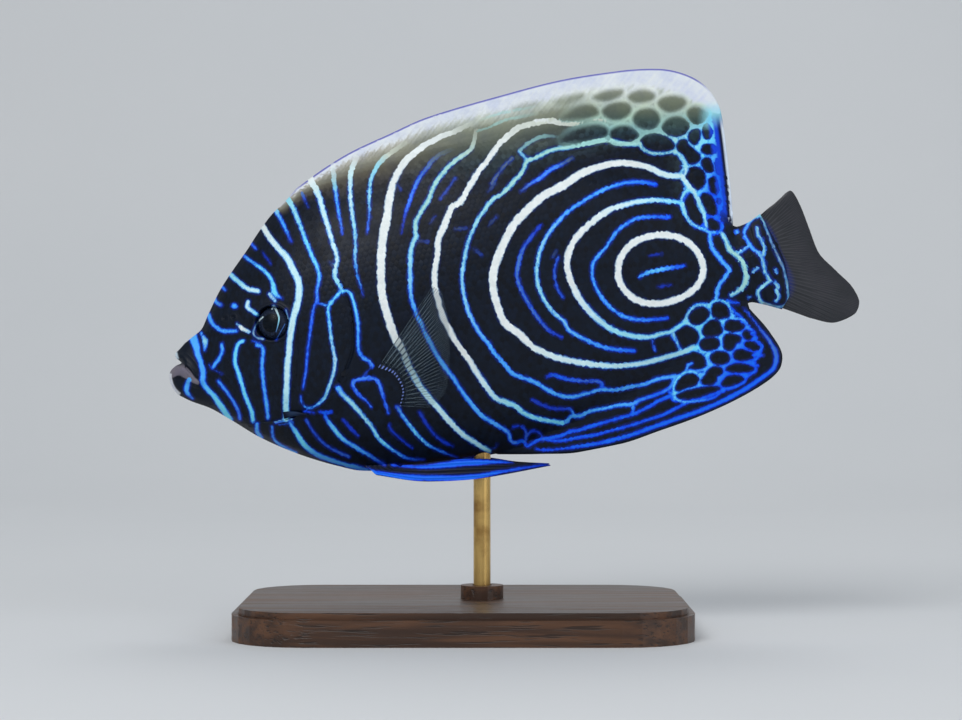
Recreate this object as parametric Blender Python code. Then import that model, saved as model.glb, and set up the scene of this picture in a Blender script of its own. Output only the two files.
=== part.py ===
"""Emperor angelfish in its juvenile dress, life size, on a small display stand.

The fish is laid out in its own frame, in millimetres: u runs from the mouth to the tail,
v runs up, and w runs sideways, negative on the fish's left. An empty tilts the whole fish
nose down and lifts it over the stand.
"""

import math

import bmesh
import bpy
from mathutils import Matrix, Vector

# Driving sizes, in millimetres and degrees
MM = 0.001
NOSE_DOWN_DEG = 12.0
GAP = 0.3
FISH_CLEARANCE = 22.0
REACH = 45.0

# Outline of the body without its fins, as (u, v)
BODY_TOP = [
    (-0.5, 0.0), (0.9, 2.5), (2.1, 4.35), (3.75, 5.9), (5.4, 6.75), (7.2, 7.7), (9.05, 10.15),
    (12.2, 14.2), (18.8, 20.6), (24.8, 26.2), (30.0, 29.0), (36.0, 31.0), (46.0, 32.6),
    (57.0, 32.8), (70.0, 31.0), (82.0, 26.8), (92.0, 20.8), (100.0, 13.8), (106.0, 8.0),
    (109.0, 5.7), (111.5, 6.0), (114.3, 7.2), (118.0, 8.2),
]
BODY_BOTTOM = [
    (-0.5, -1.1), (0.8, -3.6), (2.6, -5.0), (5.8, -7.0), (9.2, -10.0), (13.7, -14.2),
    (19.8, -18.6), (27.0, -22.0), (36.0, -24.3), (46.0, -25.6), (55.0, -25.7), (64.0, -25.0),
    (74.0, -23.3), (84.0, -20.4), (93.0, -16.6), (100.0, -12.8), (105.0, -9.6), (108.0, -8.3),
    (111.0, -9.4), (114.3, -11.0), (118.0, -12.2),
]
BODY_HALF_WIDTH = [
    (-0.5, 0.9), (0.5, 1.7), (2.0, 2.3), (4.0, 2.9), (6.0, 3.4), (10.0, 4.9), (15.0, 6.6),
    (20.0, 8.0), (27.0, 9.4), (34.0, 10.2), (42.0, 10.5), (52.0, 10.1), (64.0, 8.9),
    (76.0, 7.2), (88.0, 5.3), (98.0, 3.7), (106.0, 2.75), (112.0, 2.3), (118.0, 1.6),
]
BACK_POWERS = (2.1, 0.80)
BELLY_POWERS = (2.4, 0.65)
KEEL_HALF_WIDTH = 0.8
KEEL_SHARE = 0.35
LOFT_STATIONS = [
    -0.5, 0.1, 0.9, 2.1, 3.75, 5.4, 7.2, 9.0, 11.5, 14.5, 18.0, 22.0, 26.0, 30.0, 34.0, 39.0,
    44.0, 50.0, 56.0, 62.0, 68.0, 74.0, 80.0, 85.0, 90.0, 94.0, 98.0, 101.5, 104.5, 107.0,
    109.5, 112.0, 115.0, 118.0,
]
SIDE_POINTS = 14

# Lines that part the body, each from the back down to the belly
HEAD_FRONT_U = 4.6
JAW_LINE = [(4.6, 12.0), (5.2, 4.0), (5.6, -0.9), (5.0, -5.0), (4.4, -13.0)]
JAW_STEPS = 8
GILL_LINE = [
    (26.4, 40.0), (27.4, 27.0), (31.8, 19.0), (35.4, 11.5), (36.2, 5.0), (35.4, -1.1),
    (33.5, -4.9), (30.1, -8.6), (26.8, -10.6), (23.3, -11.7), (18.8, -12.3), (14.0, -11.6),
    (10.9, -11.0), (8.7, -10.7), (5.0, -12.0),
]
GILL_STEPS = 30
SHOULDER_U = 27.0
STEM_START_U = 107.6
TAIL_STEPS = 14
TAIL_LINE = [
    (113.8, 14.0), (114.3, 7.2), (116.0, 1.8), (116.6, -3.5), (116.0, -8.0), (114.3, -11.0),
    (113.6, -17.0),
]
TAIL_ROOT_HEIGHTS = (-11.6, 7.8)
CHEEK_LINE = [(25.9, 9.0), (25.2, 3.0), (23.8, -3.0), (21.6, -8.0), (18.8, -11.0)]
CHEEK_STEPS = 6
GILL_TOP = [(35.6, 10.6), (30.6, 11.6), (27.4, 11.2)]
GILL_COVER_OUTSIDE = [(37.9, 8.0), (37.9, -4.0), (30.8, -14.0), (24.3, -15.5), (18.8, -14.5)]
GILL_PLATE = 1.5
GILL_PROUD = 0.25

# Mouth
MOUTH_FRONT_U = -4.0
UPPER_MOUTH_LINE = [
    (5.25, -1.1), (4.65, -0.6), (4.0, 0.75), (3.1, 2.0), (2.4, 2.75), (1.8, 3.2),
    (MOUTH_FRONT_U, 4.0),
]
LOWER_MOUTH_LINE = [
    (5.25, -1.55), (4.35, -0.95), (3.7, 0.4), (2.8, 1.65), (2.2, 2.15), (MOUTH_FRONT_U, 2.3),
]
UPPER_JAW_REAR_U = 4.3
LOWER_JAW_REAR_U = 4.1
LOWER_JAW_TOP_V = -2.0
UPPER_LIP = [(4.7, 0.3), (3.9, 1.85), (3.0, 3.1)]
LOWER_LIP = [(4.35, -1.95), (3.4, -0.35), (2.4, 0.8)]
UPPER_LIP_FRONT = (2.15, 3.85)
LOWER_LIP_FRONT = (0.85, 0.9)
UPPER_LIP_RADIUS = 0.75
LOWER_LIP_RADIUS = 0.95
LIP_END_SHARE = 0.45
LIP_STEPS = 16

# Head details
EYE_PLACE = (20.65, 6.15)
EYE_RADIUS = 3.1
EYE_DEPTH_SHARE = 0.7
EYE_SUNK = 1.6
ORBIT_RIM = 0.35
NOSTRILS = [(12.4, 8.75, 0.38), (14.05, 8.6, 0.32)]
NOSTRIL_DEPTH = 0.6
CHEEK_SPINE_ROOT = (19.5, -11.2)
CHEEK_SPINE_TIP = (24.2, -12.2)
CHEEK_SPINE_RADIUS = 0.75
CHEEK_SPINE_POINT = 0.09
CHEEK_SPINE_ROOT_LIFT = 0.1
CHEEK_SPINE_TIP_LIFT = 1.0

# Upright fins: edge outlines as (u, v), from the first ray to the last
DORSAL_BASE = [
    (29.2, 28.6), (36.0, 31.0), (46.0, 32.6), (57.0, 32.8), (70.0, 31.0), (82.0, 26.8),
    (92.0, 20.8), (100.0, 13.8), (107.2, 7.1),
]
DORSAL_EDGE = [
    (30.2, 29.9), (36.5, 32.7), (41.7, 34.5), (49.5, 36.3), (57.1, 37.9), (69.6, 38.9),
    (82.8, 39.5), (94.2, 38.9), (101.6, 37.7), (106.8, 35.2), (109.9, 31.7), (111.1, 27.4),
    (110.3, 16.4), (109.0, 7.6),
]
UPRIGHT_FIN_ROWS = 6
DORSAL_SPINES = 14
DORSAL_SOFT_RAYS = 19
ANAL_BASE = [
    (58.0, -25.6), (64.0, -25.0), (74.0, -23.3), (84.0, -20.4), (93.0, -16.6), (100.0, -12.8),
    (107.2, -8.7),
]
ANAL_EDGE = [
    (58.6, -26.9), (64.5, -28.3), (72.0, -29.5), (79.6, -29.6), (87.5, -28.7), (95.4, -27.6),
    (106.6, -24.8), (112.0, -21.9), (112.9, -19.4), (111.5, -14.9), (108.6, -9.6),
]
ANAL_SPINES = 3
ANAL_SOFT_RAYS = 19
TAIL_EDGE = [
    (118.2, 8.6), (121.5, 10.4), (122.6, 7.5), (123.2, 3.0), (123.9, -1.8), (126.6, -6.2),
    (129.2, -10.2), (129.8, -12.6), (128.4, -14.9), (124.4, -15.7), (119.5, -13.8),
]
TAIL_RAYS = 17
TAIL_ROWS = 7
TAIL_BEND = 1.5
TAIL_SWING_DEG = (36.0, 12.0)
FIN_ROOT_HALF = 0.8
FIN_EDGE_HALF = 0.28
RAY_RIDGE = 0.22

# Paired fins
PECTORAL_BASE = [(38.6, -6.2), (41.2, -8.0), (42.2, -11.0), (41.2, -14.0)]
PECTORAL_EDGE = [
    (51.6, 6.2), (53.0, 4.4), (53.1, 0.0), (52.4, -4.6), (51.3, -9.4), (49.7, -13.2),
    (46.6, -15.3),
]
PECTORAL_RAYS = 19
PECTORAL_ROWS = 6
PECTORAL_BEND = 1.2
PECTORAL_LIFT = 5.5
PECTORAL_ROOT_HALF = 0.45
PELVIC_LEADING = [(32.2, -24.6), (43.3, -28.9), (54.5, -30.4), (66.0, -30.7)]
PELVIC_TRAILING = [(37.4, -25.2), (47.0, -26.9), (56.5, -28.6), (65.8, -30.1)]
PELVIC_RAYS = 6
PELVIC_ROWS = 10
PELVIC_SIDE = [2.3, 3.6, 3.9, 3.4]
PELVIC_HALF = 0.45

# Stand
BASE_LENGTH = 84.0
BASE_WIDTH = 62.0
BASE_HEIGHT = 6.0
BASE_CORNER = 14.0
BASE_BEVEL = 1.2
BASE_FORWARD = 3.4
SHARP_ANGLE_DEG = 40.0
COLLAR_RADIUS = 4.0
COLLAR_HEIGHT = 2.5
COLLAR_FOOT = 3.0
ROD_RADIUS = 1.6
ROD_FOOT = 2.0
ROD_BELLY_U = 54.0
ROD_IN_BELLY = 5.0


def smooth_through(knots):
    """A smooth function through (x, y) knots that never swings past a knot."""
    steps = [b[0] - a[0] for a, b in zip(knots, knots[1:])]
    rises = [(b[1] - a[1]) / step for a, b, step in zip(knots, knots[1:], steps)]
    slopes = [rises[0]]
    for before, after in zip(rises, rises[1:]):
        level = before * after <= 0.0
        slopes.append(0.0 if level else 2.0 * before * after / (before + after))
    slopes.append(rises[-1])

    def value(x):
        i = 0
        while i < len(steps) - 1 and x > knots[i + 1][0]:
            i += 1
        t = (x - knots[i][0]) / steps[i]
        start = (1 + 2 * t) * (1 - t) ** 2 * knots[i][1] + t * (1 - t) ** 2 * steps[i] * slopes[i]
        end = t * t * (3 - 2 * t) * knots[i + 1][1]
        return start + end + t * t * (t - 1) * steps[i] * slopes[i + 1]

    return value


def curve_through(points):
    """A smooth curve through the points, as a function of the share of its length."""
    run = [0.0]
    for a, b in zip(points, points[1:]):
        run.append(run[-1] + math.dist(a, b))
    axes = [
        smooth_through([(r / run[-1], p[axis]) for r, p in zip(run, points)])
        for axis in range(len(points[0]))
    ]
    return lambda share: tuple(axis(share) for axis in axes)


back_v = smooth_through(BODY_TOP)
belly_v = smooth_through(BODY_BOTTOM)
widest = smooth_through(BODY_HALF_WIDTH)


def half_width(u, v):
    """Half of the body's thickness at a point of its side view."""
    top = back_v(u)
    bottom = belly_v(u)
    t = (2.0 * v - top - bottom) / (top - bottom)
    power, bow = BACK_POWERS if t > 0.0 else BELLY_POWERS
    bulge = max(0.0, 1.0 - abs(t) ** power) ** bow
    keel = min(KEEL_HALF_WIDTH, KEEL_SHARE * widest(u))
    return math.hypot(keel, math.sqrt(widest(u) ** 2 - keel ** 2) * bulge)


def side_point(u, v, side, lift=0.0):
    """A point on the body's skin, moved out by lift."""
    return (u, v, side * (half_width(u, v) + lift))


def skin_normal(u, v, side):
    """The direction that the skin faces, in x, y, z."""
    step = 0.5
    along = (half_width(u + step, v) - half_width(u - step, v)) / (2 * step)
    up = (half_width(u, v + step) - half_width(u, v - step)) / (2 * step)
    return Vector((-along, side, -up)).normalized()


def belly_height(u, w):
    """The height of the belly's skin at a distance w from the middle plane."""
    low = belly_v(u)
    high = 0.5 * (belly_v(u) + back_v(u))
    for _ in range(40):
        middle = 0.5 * (low + high)
        if half_width(u, middle) < w:
            low = middle
        else:
            high = middle
    return high


def drawn(line, count):
    """A line redrawn as a smooth curve, with a number of even steps."""
    along = curve_through(line)
    return [along(i / count) for i in range(count + 1)]


def beside(line, distance):
    """The line moved sideways by a distance, to its left as it runs."""
    moved = []
    for i, (u, v) in enumerate(line):
        before = line[max(i - 1, 0)]
        after = line[min(i + 1, len(line) - 1)]
        along = Vector((after[0] - before[0], after[1] - before[1])).normalized()
        moved.append((u - distance * along.y, v + distance * along.x))
    return moved


def clear_scene():
    for old in list(bpy.data.objects):
        bpy.data.objects.remove(old, do_unlink=True)


def material(name, colour, roughness, metallic=0.0):
    finish = bpy.data.materials.new(name)
    finish.use_nodes = True
    shader = finish.node_tree.nodes["Principled BSDF"]
    shader.inputs["Base Color"].default_value = (*colour, 1.0)
    shader.inputs["Roughness"].default_value = roughness
    shader.inputs["Metallic"].default_value = metallic
    return finish


def new_object(name, mesh, parent=None, finish=None, collection=None):
    made = bpy.data.objects.new(name, mesh)
    (collection or bpy.context.scene.collection).objects.link(made)
    made.parent = parent
    if finish:
        mesh.materials.append(finish)
        mesh.shade_smooth()
    return made


def cutter(name, mesh, parent=None, collection=None):
    """A helper shape for a Boolean, left out of the finished model."""
    made = new_object(name, mesh, parent, None, collection)
    made.hide_render = True
    made.display_type = "WIRE"
    return made


def mesh_of(name, points, faces):
    """A closed mesh from (u, v, w) points in millimetres."""
    shape = bmesh.new()
    corners = [shape.verts.new((u * MM, w * MM, v * MM)) for u, v, w in points]
    for face in faces:
        shape.faces.new([corners[i] for i in face])
    return finished(name, shape)


def finished(name, shape):
    bmesh.ops.recalc_face_normals(shape, faces=shape.faces)
    mesh = bpy.data.meshes.new(name)
    shape.to_mesh(mesh)
    shape.free()
    return mesh


def loft_mesh(name, lift):
    """The whole body from lips to tail stem, its sides moved out by lift."""
    points = []
    for u in LOFT_STATIONS:
        side = []
        for i in range(SIDE_POINTS):
            share = 0.5 - 0.5 * math.cos(math.pi * i / (SIDE_POINTS - 1))
            v = belly_v(u) + share * (back_v(u) - belly_v(u))
            side.append((u, v, max(0.1, half_width(u, v) + lift)))
        points += side
        points += [(u, v, -w) for u, v, w in reversed(side)]
    ring = 2 * SIDE_POINTS
    faces = []
    for s in range(len(LOFT_STATIONS) - 1):
        for i in range(ring):
            a = s * ring + i
            b = s * ring + (i + 1) % ring
            faces.append((a, b, b + ring, a + ring))
    faces.append(tuple(range(ring)))
    faces.append(tuple(range(len(points) - ring, len(points))))
    return mesh_of(name, points, faces)


def prism_mesh(name, outline, low_w=-REACH, high_w=REACH):
    """A straight-sided block over an outline of the side view."""
    points = [(u, v, low_w) for u, v in outline] + [(u, v, high_w) for u, v in outline]
    count = len(outline)
    faces = [tuple(range(count)), tuple(range(2 * count - 1, count - 1, -1))]
    for i in range(count):
        j = (i + 1) % count
        faces.append((i, j, j + count, i + count))
    return mesh_of(name, points, faces)


def sheet_mesh(name, centres, halves, normals):
    """A closed sheet from a grid of centre points, both faces split the same way."""
    columns = len(centres)
    rows = len(centres[0])
    points = []
    for sign in (1, -1):
        for i in range(columns):
            for j in range(rows):
                u, v, w = centres[i][j]
                across = normals[i][j] * (sign * halves[i][j])
                points.append((u + across[0], v + across[2], w + across[1]))
    back = columns * rows
    faces = []
    for i in range(columns - 1):
        for j in range(rows - 1):
            a = i * rows + j
            b = a + rows
            faces += [(a, b, b + 1), (a, b + 1, a + 1)]
            faces += [(back + a, back + b + 1, back + b), (back + a, back + a + 1, back + b + 1)]
    rim = [i * rows for i in range(columns)]
    rim += [(columns - 1) * rows + j for j in range(1, rows)]
    rim += [i * rows + rows - 1 for i in range(columns - 2, -1, -1)]
    rim += [j for j in range(rows - 2, 0, -1)]
    for k, a in enumerate(rim):
        b = rim[(k + 1) % len(rim)]
        faces += [(a, back + a, back + b), (a, back + b, b)]
    return mesh_of(name, points, faces)


def grid_normals(centres):
    """The direction across a sheet at each point of its grid, in x, y, z."""
    columns = len(centres)
    rows = len(centres[0])
    normals = []
    for i in range(columns):
        normals.append([])
        for j in range(rows):
            across = difference(centres[min(i + 1, columns - 1)][j], centres[max(i - 1, 0)][j])
            along = difference(centres[i][min(j + 1, rows - 1)], centres[i][max(j - 1, 0)])
            normals[i].append(across.cross(along).normalized())
    return normals


def difference(a, b):
    return Vector((a[0] - b[0], a[2] - b[2], a[1] - b[1]))


def fin_halves(columns, rows, root_half, edge_half):
    """Half thicknesses of a fin whose odd columns are its rays."""
    halves = []
    for i in range(columns):
        ridge = RAY_RIDGE if i % 2 else 0.0
        column = []
        for j in range(rows):
            share = j / (rows - 1)
            fade = min(1.0, 3.0 * share) * (1.0 - 0.6 * share)
            column.append(root_half + (edge_half - root_half) * share ** 0.8 + ridge * fade)
        halves.append(column)
    return halves


def upright_fin(name, base, edge, rays, parent, finish):
    """A middle fin, from a base line on the body to its free edge."""
    base_at = curve_through(base)
    edge_at = curve_through(edge)
    columns = 2 * rays + 1
    rows = UPRIGHT_FIN_ROWS
    centres = []
    for i in range(columns):
        share = i / (columns - 1)
        root = Vector(base_at(share))
        tip = Vector(edge_at(share))
        spots = [root.lerp(tip, j / (rows - 1)) for j in range(rows)]
        centres.append([(spot.x, spot.y, 0.0) for spot in spots])
    normals = [[Vector((0.0, 1.0, 0.0))] * rows for _ in range(columns)]
    halves = fin_halves(columns, rows, FIN_ROOT_HALF, FIN_EDGE_HALF)
    return new_object(name, sheet_mesh(name, centres, halves, normals), parent, finish)


def tail_fin(parent, finish):
    """The tail fin, spread and swung to the fish's right, most along its upper edge."""
    low_v, high_v = TAIL_ROOT_HEIGHTS
    behind_stem = beside(drawn(TAIL_LINE, TAIL_STEPS), GAP)
    root_at = curve_through([spot for spot in behind_stem if low_v < spot[1] < high_v])
    edge_at = curve_through(TAIL_EDGE)
    columns = 2 * TAIL_RAYS + 1
    rows = TAIL_ROWS
    centres = []
    for i in range(columns):
        share = i / (columns - 1)
        root = Vector(root_at(share))
        tip = Vector(edge_at(share))
        swing = math.radians(TAIL_SWING_DEG[0] + share * (TAIL_SWING_DEG[1] - TAIL_SWING_DEG[0]))
        reach = (tip - root).length * math.tan(swing)
        column = []
        for j in range(rows):
            t = j / (rows - 1)
            spot = root.lerp(tip, t)
            column.append((spot.x, spot.y, reach * t ** TAIL_BEND))
        centres.append(column)
    halves = fin_halves(columns, rows, FIN_ROOT_HALF, FIN_EDGE_HALF)
    mesh = sheet_mesh("tail_fin", centres, halves, grid_normals(centres))
    return new_object("tail_fin", mesh, parent, finish)


def pectoral_fin(name, side, parent, finish):
    """A breast fin, fanned up and back and standing out from the flank."""
    root_at = curve_through(PECTORAL_BASE)
    edge_at = curve_through(PECTORAL_EDGE)
    columns = 2 * PECTORAL_RAYS + 1
    rows = PECTORAL_ROWS
    halves = fin_halves(columns, rows, PECTORAL_ROOT_HALF, FIN_EDGE_HALF)
    centres = []
    for i in range(columns):
        share = i / (columns - 1)
        root = Vector(root_at(share))
        tip = Vector(edge_at(share))
        off = half_width(root.x, root.y) + GAP + PECTORAL_ROOT_HALF + RAY_RIDGE
        column = []
        for j in range(rows):
            t = j / (rows - 1)
            spot = root.lerp(tip, t)
            column.append((spot.x, spot.y, side * (off + PECTORAL_LIFT * t ** PECTORAL_BEND)))
        centres.append(column)
    mesh = sheet_mesh(name, centres, halves, grid_normals(centres))
    return new_object(name, mesh, parent, finish)


def pelvic_fin(name, side, parent, finish):
    """A belly fin, folded back along the belly to a long point."""
    leading_at = curve_through(PELVIC_LEADING)
    trailing_at = curve_through(PELVIC_TRAILING)
    steps = [i / (len(PELVIC_SIDE) - 1) for i in range(len(PELVIC_SIDE))]
    side_at = smooth_through(list(zip(steps, PELVIC_SIDE)))
    columns = 2 * PELVIC_RAYS + 1
    rows = PELVIC_ROWS
    halves = fin_halves(columns, rows, PELVIC_HALF, FIN_EDGE_HALF)
    centres = []
    for i in range(columns):
        share = i / (columns - 1)
        column = []
        for j in range(rows):
            t = j / (rows - 1)
            w = side_at(t)
            spot = Vector(leading_at(t)).lerp(Vector(trailing_at(t)), share)
            roof = belly_height(spot.x, w - PELVIC_HALF - RAY_RIDGE) - GAP
            column.append((spot.x, roof if j == 0 else min(spot.y, roof), side * w))
        centres.append(column)
    mesh = sheet_mesh(name, centres, halves, grid_normals(centres))
    return new_object(name, mesh, parent, finish)


def ball_mesh(name, radius, segments, rings):
    shape = bmesh.new()
    bmesh.ops.create_uvsphere(
        shape, u_segments=segments, v_segments=rings, radius=radius * MM
    )
    return finished(name, shape)


def turned_to(normal, depth_share=1.0):
    """A turn that points a shape's own z along the normal, flattened in that direction."""
    turn = normal.to_track_quat("Z", "Y").to_matrix().to_4x4()
    return turn @ Matrix.Diagonal((1.0, 1.0, depth_share, 1.0))


def skin_place(u, v, side, sunk):
    """Where a detail sits, sunk into the skin along its normal, in metres."""
    normal = skin_normal(u, v, side)
    spot = Vector((u, side * half_width(u, v), v)) - normal * sunk
    return spot * MM, normal


def place_mesh(mesh, centre, turn):
    mesh.transform(Matrix.Translation(centre) @ turn)
    return mesh


def ring_mesh(name, radius, thickness):
    """A plain round ring, lying flat."""
    around = 24
    section = 6
    points = []
    faces = []
    for i in range(around):
        a = 2 * math.pi * i / around
        for j in range(section):
            b = 2 * math.pi * j / section
            reach = radius + thickness * math.cos(b)
            points.append((reach * math.cos(a), thickness * math.sin(b), reach * math.sin(a)))
    for i in range(around):
        for j in range(section):
            a = i * section + j
            b = i * section + (j + 1) % section
            c = ((i + 1) % around) * section + (j + 1) % section
            d = ((i + 1) % around) * section + j
            faces.append((a, b, c, d))
    return mesh_of(name, points, faces)


def tube_mesh(name, path, radius):
    """A tube of round section along (u, v, w) points, with round ends."""
    section = 10
    points = []
    faces = []
    for i, spot in enumerate(path):
        before = path[max(i - 1, 0)]
        after = path[min(i + 1, len(path) - 1)]
        along = difference(after, before).normalized()
        out = along.cross(Vector((0.0, 0.0, 1.0))).normalized()
        over = along.cross(out)
        thick = radius * (LIP_END_SHARE if i in (0, len(path) - 1) else 1.0)
        for j in range(section):
            angle = 2 * math.pi * j / section
            step = out * (thick * math.cos(angle)) + over * (thick * math.sin(angle))
            points.append((spot[0] + step.x, spot[1] + step.z, spot[2] + step.y))
    for i in range(len(path) - 1):
        for j in range(section):
            a = i * section + j
            b = i * section + (j + 1) % section
            faces.append((a, b, b + section, a + section))
    faces.append(tuple(range(section)))
    faces.append(tuple(range(len(points) - section, len(points))))
    return mesh_of(name, points, faces)


def lip_path(side_line, front, sunk):
    """A lip's path from one corner of the mouth round the front to the other."""
    left = [side_point(u, v, -1, -sunk) for u, v in side_line]
    right = [side_point(u, v, 1, -sunk) for u, v in reversed(side_line)]
    return drawn(left + [(*front, 0.0)] + right, LIP_STEPS)


def spike_mesh(name, root, tip, radius):
    """A tapered spike between two (u, v, w) points."""
    along = difference(tip, root)
    shape = bmesh.new()
    bmesh.ops.create_cone(
        shape, cap_ends=True, segments=8, radius1=radius * MM,
        radius2=CHEEK_SPINE_POINT * MM, depth=along.length * MM,
    )
    middle = Vector(((root[0] + tip[0]) / 2, (root[2] + tip[2]) / 2, (root[1] + tip[1]) / 2))
    turn = along.to_track_quat("Z", "Y").to_matrix().to_4x4()
    bmesh.ops.transform(shape, matrix=Matrix.Translation(middle * MM) @ turn, verts=shape.verts)
    return finished(name, shape)


def boolean(target, operation, other):
    """Adds an exact Boolean with one helper object, or with a collection of them."""
    step = target.modifiers.new(operation.lower() + "_" + other.name, "BOOLEAN")
    step.operation = operation
    step.solver = "EXACT"
    if isinstance(other, bpy.types.Collection):
        step.operand_type = "COLLECTION"
        step.collection = other
    else:
        step.object = other
    return step


def helper_collection(name):
    made = bpy.data.collections.new(name)
    bpy.context.scene.collection.children.link(made)
    return made


def body_piece(name, outline, parent, finish):
    """The part of the whole body that lies inside an outline of the side view."""
    piece = new_object(name, loft_mesh(name, 0.0), parent, finish)
    boolean(piece, "INTERSECT", cutter(name + "_outline", prism_mesh(name, outline), parent))
    return piece


def gill_outline(distance):
    """The gill cover's outline, from the cheek back past the gill opening."""
    front = beside(drawn(CHEEK_LINE, CHEEK_STEPS), -distance)
    top = [(u, v + distance) for u, v in GILL_TOP]
    return front[::-1] + top[::-1] + GILL_COVER_OUTSIDE


def make_head(parent, finish):
    outline = drawn(JAW_LINE, JAW_STEPS)[::-1] + [(HEAD_FRONT_U, REACH)]
    outline += drawn(GILL_LINE, GILL_STEPS)
    head = new_object("head", loft_mesh("head", 0.0), parent, finish)
    rims = helper_collection("orbit_rims")
    cuts = helper_collection("head_cuts")
    core = cutter("head_core", loft_mesh("head_core", -GILL_PLATE - GAP), parent)
    for side, word in ((-1, "left"), (1, "right")):
        spot, normal = skin_place(*EYE_PLACE, side, ORBIT_RIM / 3)
        rim = ring_mesh("orbit_" + word, EYE_RADIUS + GAP + ORBIT_RIM / 2, ORBIT_RIM)
        cutter("orbit_" + word, place_mesh(rim, spot, turned_to(normal)), parent, rims)
        spot, normal = skin_place(*EYE_PLACE, side, EYE_SUNK)
        socket = ball_mesh("socket_" + word, EYE_RADIUS + GAP, 18, 10)
        turn = turned_to(normal, (EYE_RADIUS * EYE_DEPTH_SHARE + GAP) / (EYE_RADIUS + GAP))
        cutter("socket_" + word, place_mesh(socket, spot, turn), parent, cuts)
        for number, (u, v, radius) in enumerate(NOSTRILS):
            spot, normal = skin_place(u, v, side, 0.0)
            hole = ball_mesh("nostril", 1.0, 8, 6)
            turn = turned_to(normal, NOSTRIL_DEPTH / radius) @ Matrix.Scale(radius, 4)
            name = f"nostril_{word}_{number}"
            cutter(name, place_mesh(hole, spot, turn), parent, cuts)
        low, high = (-REACH, 0.0) if side < 0 else (0.0, REACH)
        pocket_mesh = prism_mesh("gill_pocket", gill_outline(GAP), low, high)
        pocket = cutter("gill_pocket_" + word, pocket_mesh, parent, cuts)
        boolean(pocket, "DIFFERENCE", core)
    boolean(head, "UNION", rims)
    boolean(head, "INTERSECT", cutter("head_outline", prism_mesh("head", outline), parent))
    boolean(head, "DIFFERENCE", cuts)
    return head


def make_gill_cover(side, word, parent, finish):
    name = "gill_cover_" + word
    plate = new_object(name, loft_mesh(name, GILL_PROUD), parent, finish)
    low, high = (-REACH, 0.0) if side < 0 else (0.0, REACH)
    window = cutter(name + "_window", prism_mesh(name, gill_outline(0.0), low, high), parent)
    outline = [(HEAD_FRONT_U, -REACH), (HEAD_FRONT_U, REACH)] + drawn(GILL_LINE, GILL_STEPS)
    opening = cutter(name + "_opening", prism_mesh(name, outline), parent)
    core = cutter(name + "_core", loft_mesh(name, -GILL_PLATE), parent)
    boolean(plate, "INTERSECT", window)
    boolean(plate, "INTERSECT", opening)
    boolean(plate, "DIFFERENCE", core)
    root = side_point(*CHEEK_SPINE_ROOT, side, CHEEK_SPINE_ROOT_LIFT)
    tip = side_point(*CHEEK_SPINE_TIP, side, CHEEK_SPINE_TIP_LIFT)
    spine = spike_mesh(name + "_spine", root, tip, CHEEK_SPINE_RADIUS)
    boolean(plate, "UNION", cutter(name + "_spine", spine, parent))
    return plate


def make_jaw(name, mouth_line, lip_line, front, radius, closing, parent, finish):
    """One jaw: the end of the snout on its side of the mouth, with its rounded lip."""
    jaw = new_object(name, loft_mesh(name, 0.0), parent, finish)
    lip = tube_mesh(name + "_lip", lip_path(lip_line, front, radius / 2), radius)
    boolean(jaw, "UNION", cutter(name + "_lip", lip, parent))
    outline = mouth_line + closing
    boolean(jaw, "INTERSECT", cutter(name + "_outline", prism_mesh(name, outline), parent))
    return jaw


def make_eye(side, word, parent, finish):
    spot, normal = skin_place(*EYE_PLACE, side, EYE_SUNK)
    ball = ball_mesh("eye_" + word, EYE_RADIUS, 18, 10)
    place_mesh(ball, spot, turned_to(normal, EYE_DEPTH_SHARE))
    return new_object("eye_" + word, ball, parent, finish)


def make_base(finish):
    """The flat base, a rounded slab with a low collar round the rod."""
    shape = bmesh.new()
    steps = 6
    corners = []
    for quarter, (x_sign, y_sign) in enumerate(((1, 1), (-1, 1), (-1, -1), (1, -1))):
        for i in range(steps + 1):
            angle = math.radians(90.0 * quarter + 90.0 * i / steps)
            x = x_sign * (BASE_LENGTH / 2 - BASE_CORNER) + BASE_CORNER * math.cos(angle)
            y = y_sign * (BASE_WIDTH / 2 - BASE_CORNER) + BASE_CORNER * math.sin(angle)
            corners.append(shape.verts.new((x * MM, y * MM, 0.0)))
    face = shape.faces.new(corners)
    grown = bmesh.ops.extrude_face_region(shape, geom=[face])
    top = [item for item in grown["geom"] if isinstance(item, bmesh.types.BMVert)]
    bmesh.ops.translate(shape, verts=top, vec=(0.0, 0.0, BASE_HEIGHT * MM))
    rim = [edge for edge in shape.edges if all(v in top for v in edge.verts)]
    bmesh.ops.bevel(shape, geom=rim, offset=BASE_BEVEL * MM, segments=2, affect="EDGES")
    base = new_object("stand_base", finished("stand_base", shape), None, finish)
    base.data.set_sharp_from_angle(angle=math.radians(SHARP_ANGLE_DEG))
    return base


def round_bar(name, radius, low, high, segments=24):
    shape = bmesh.new()
    bmesh.ops.create_cone(
        shape, cap_ends=True, segments=segments, radius1=radius * MM, radius2=radius * MM,
        depth=(high - low) * MM,
    )
    bmesh.ops.translate(shape, verts=shape.verts, vec=(0.0, 0.0, (low + high) / 2 * MM))
    return finished(name, shape)


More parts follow.
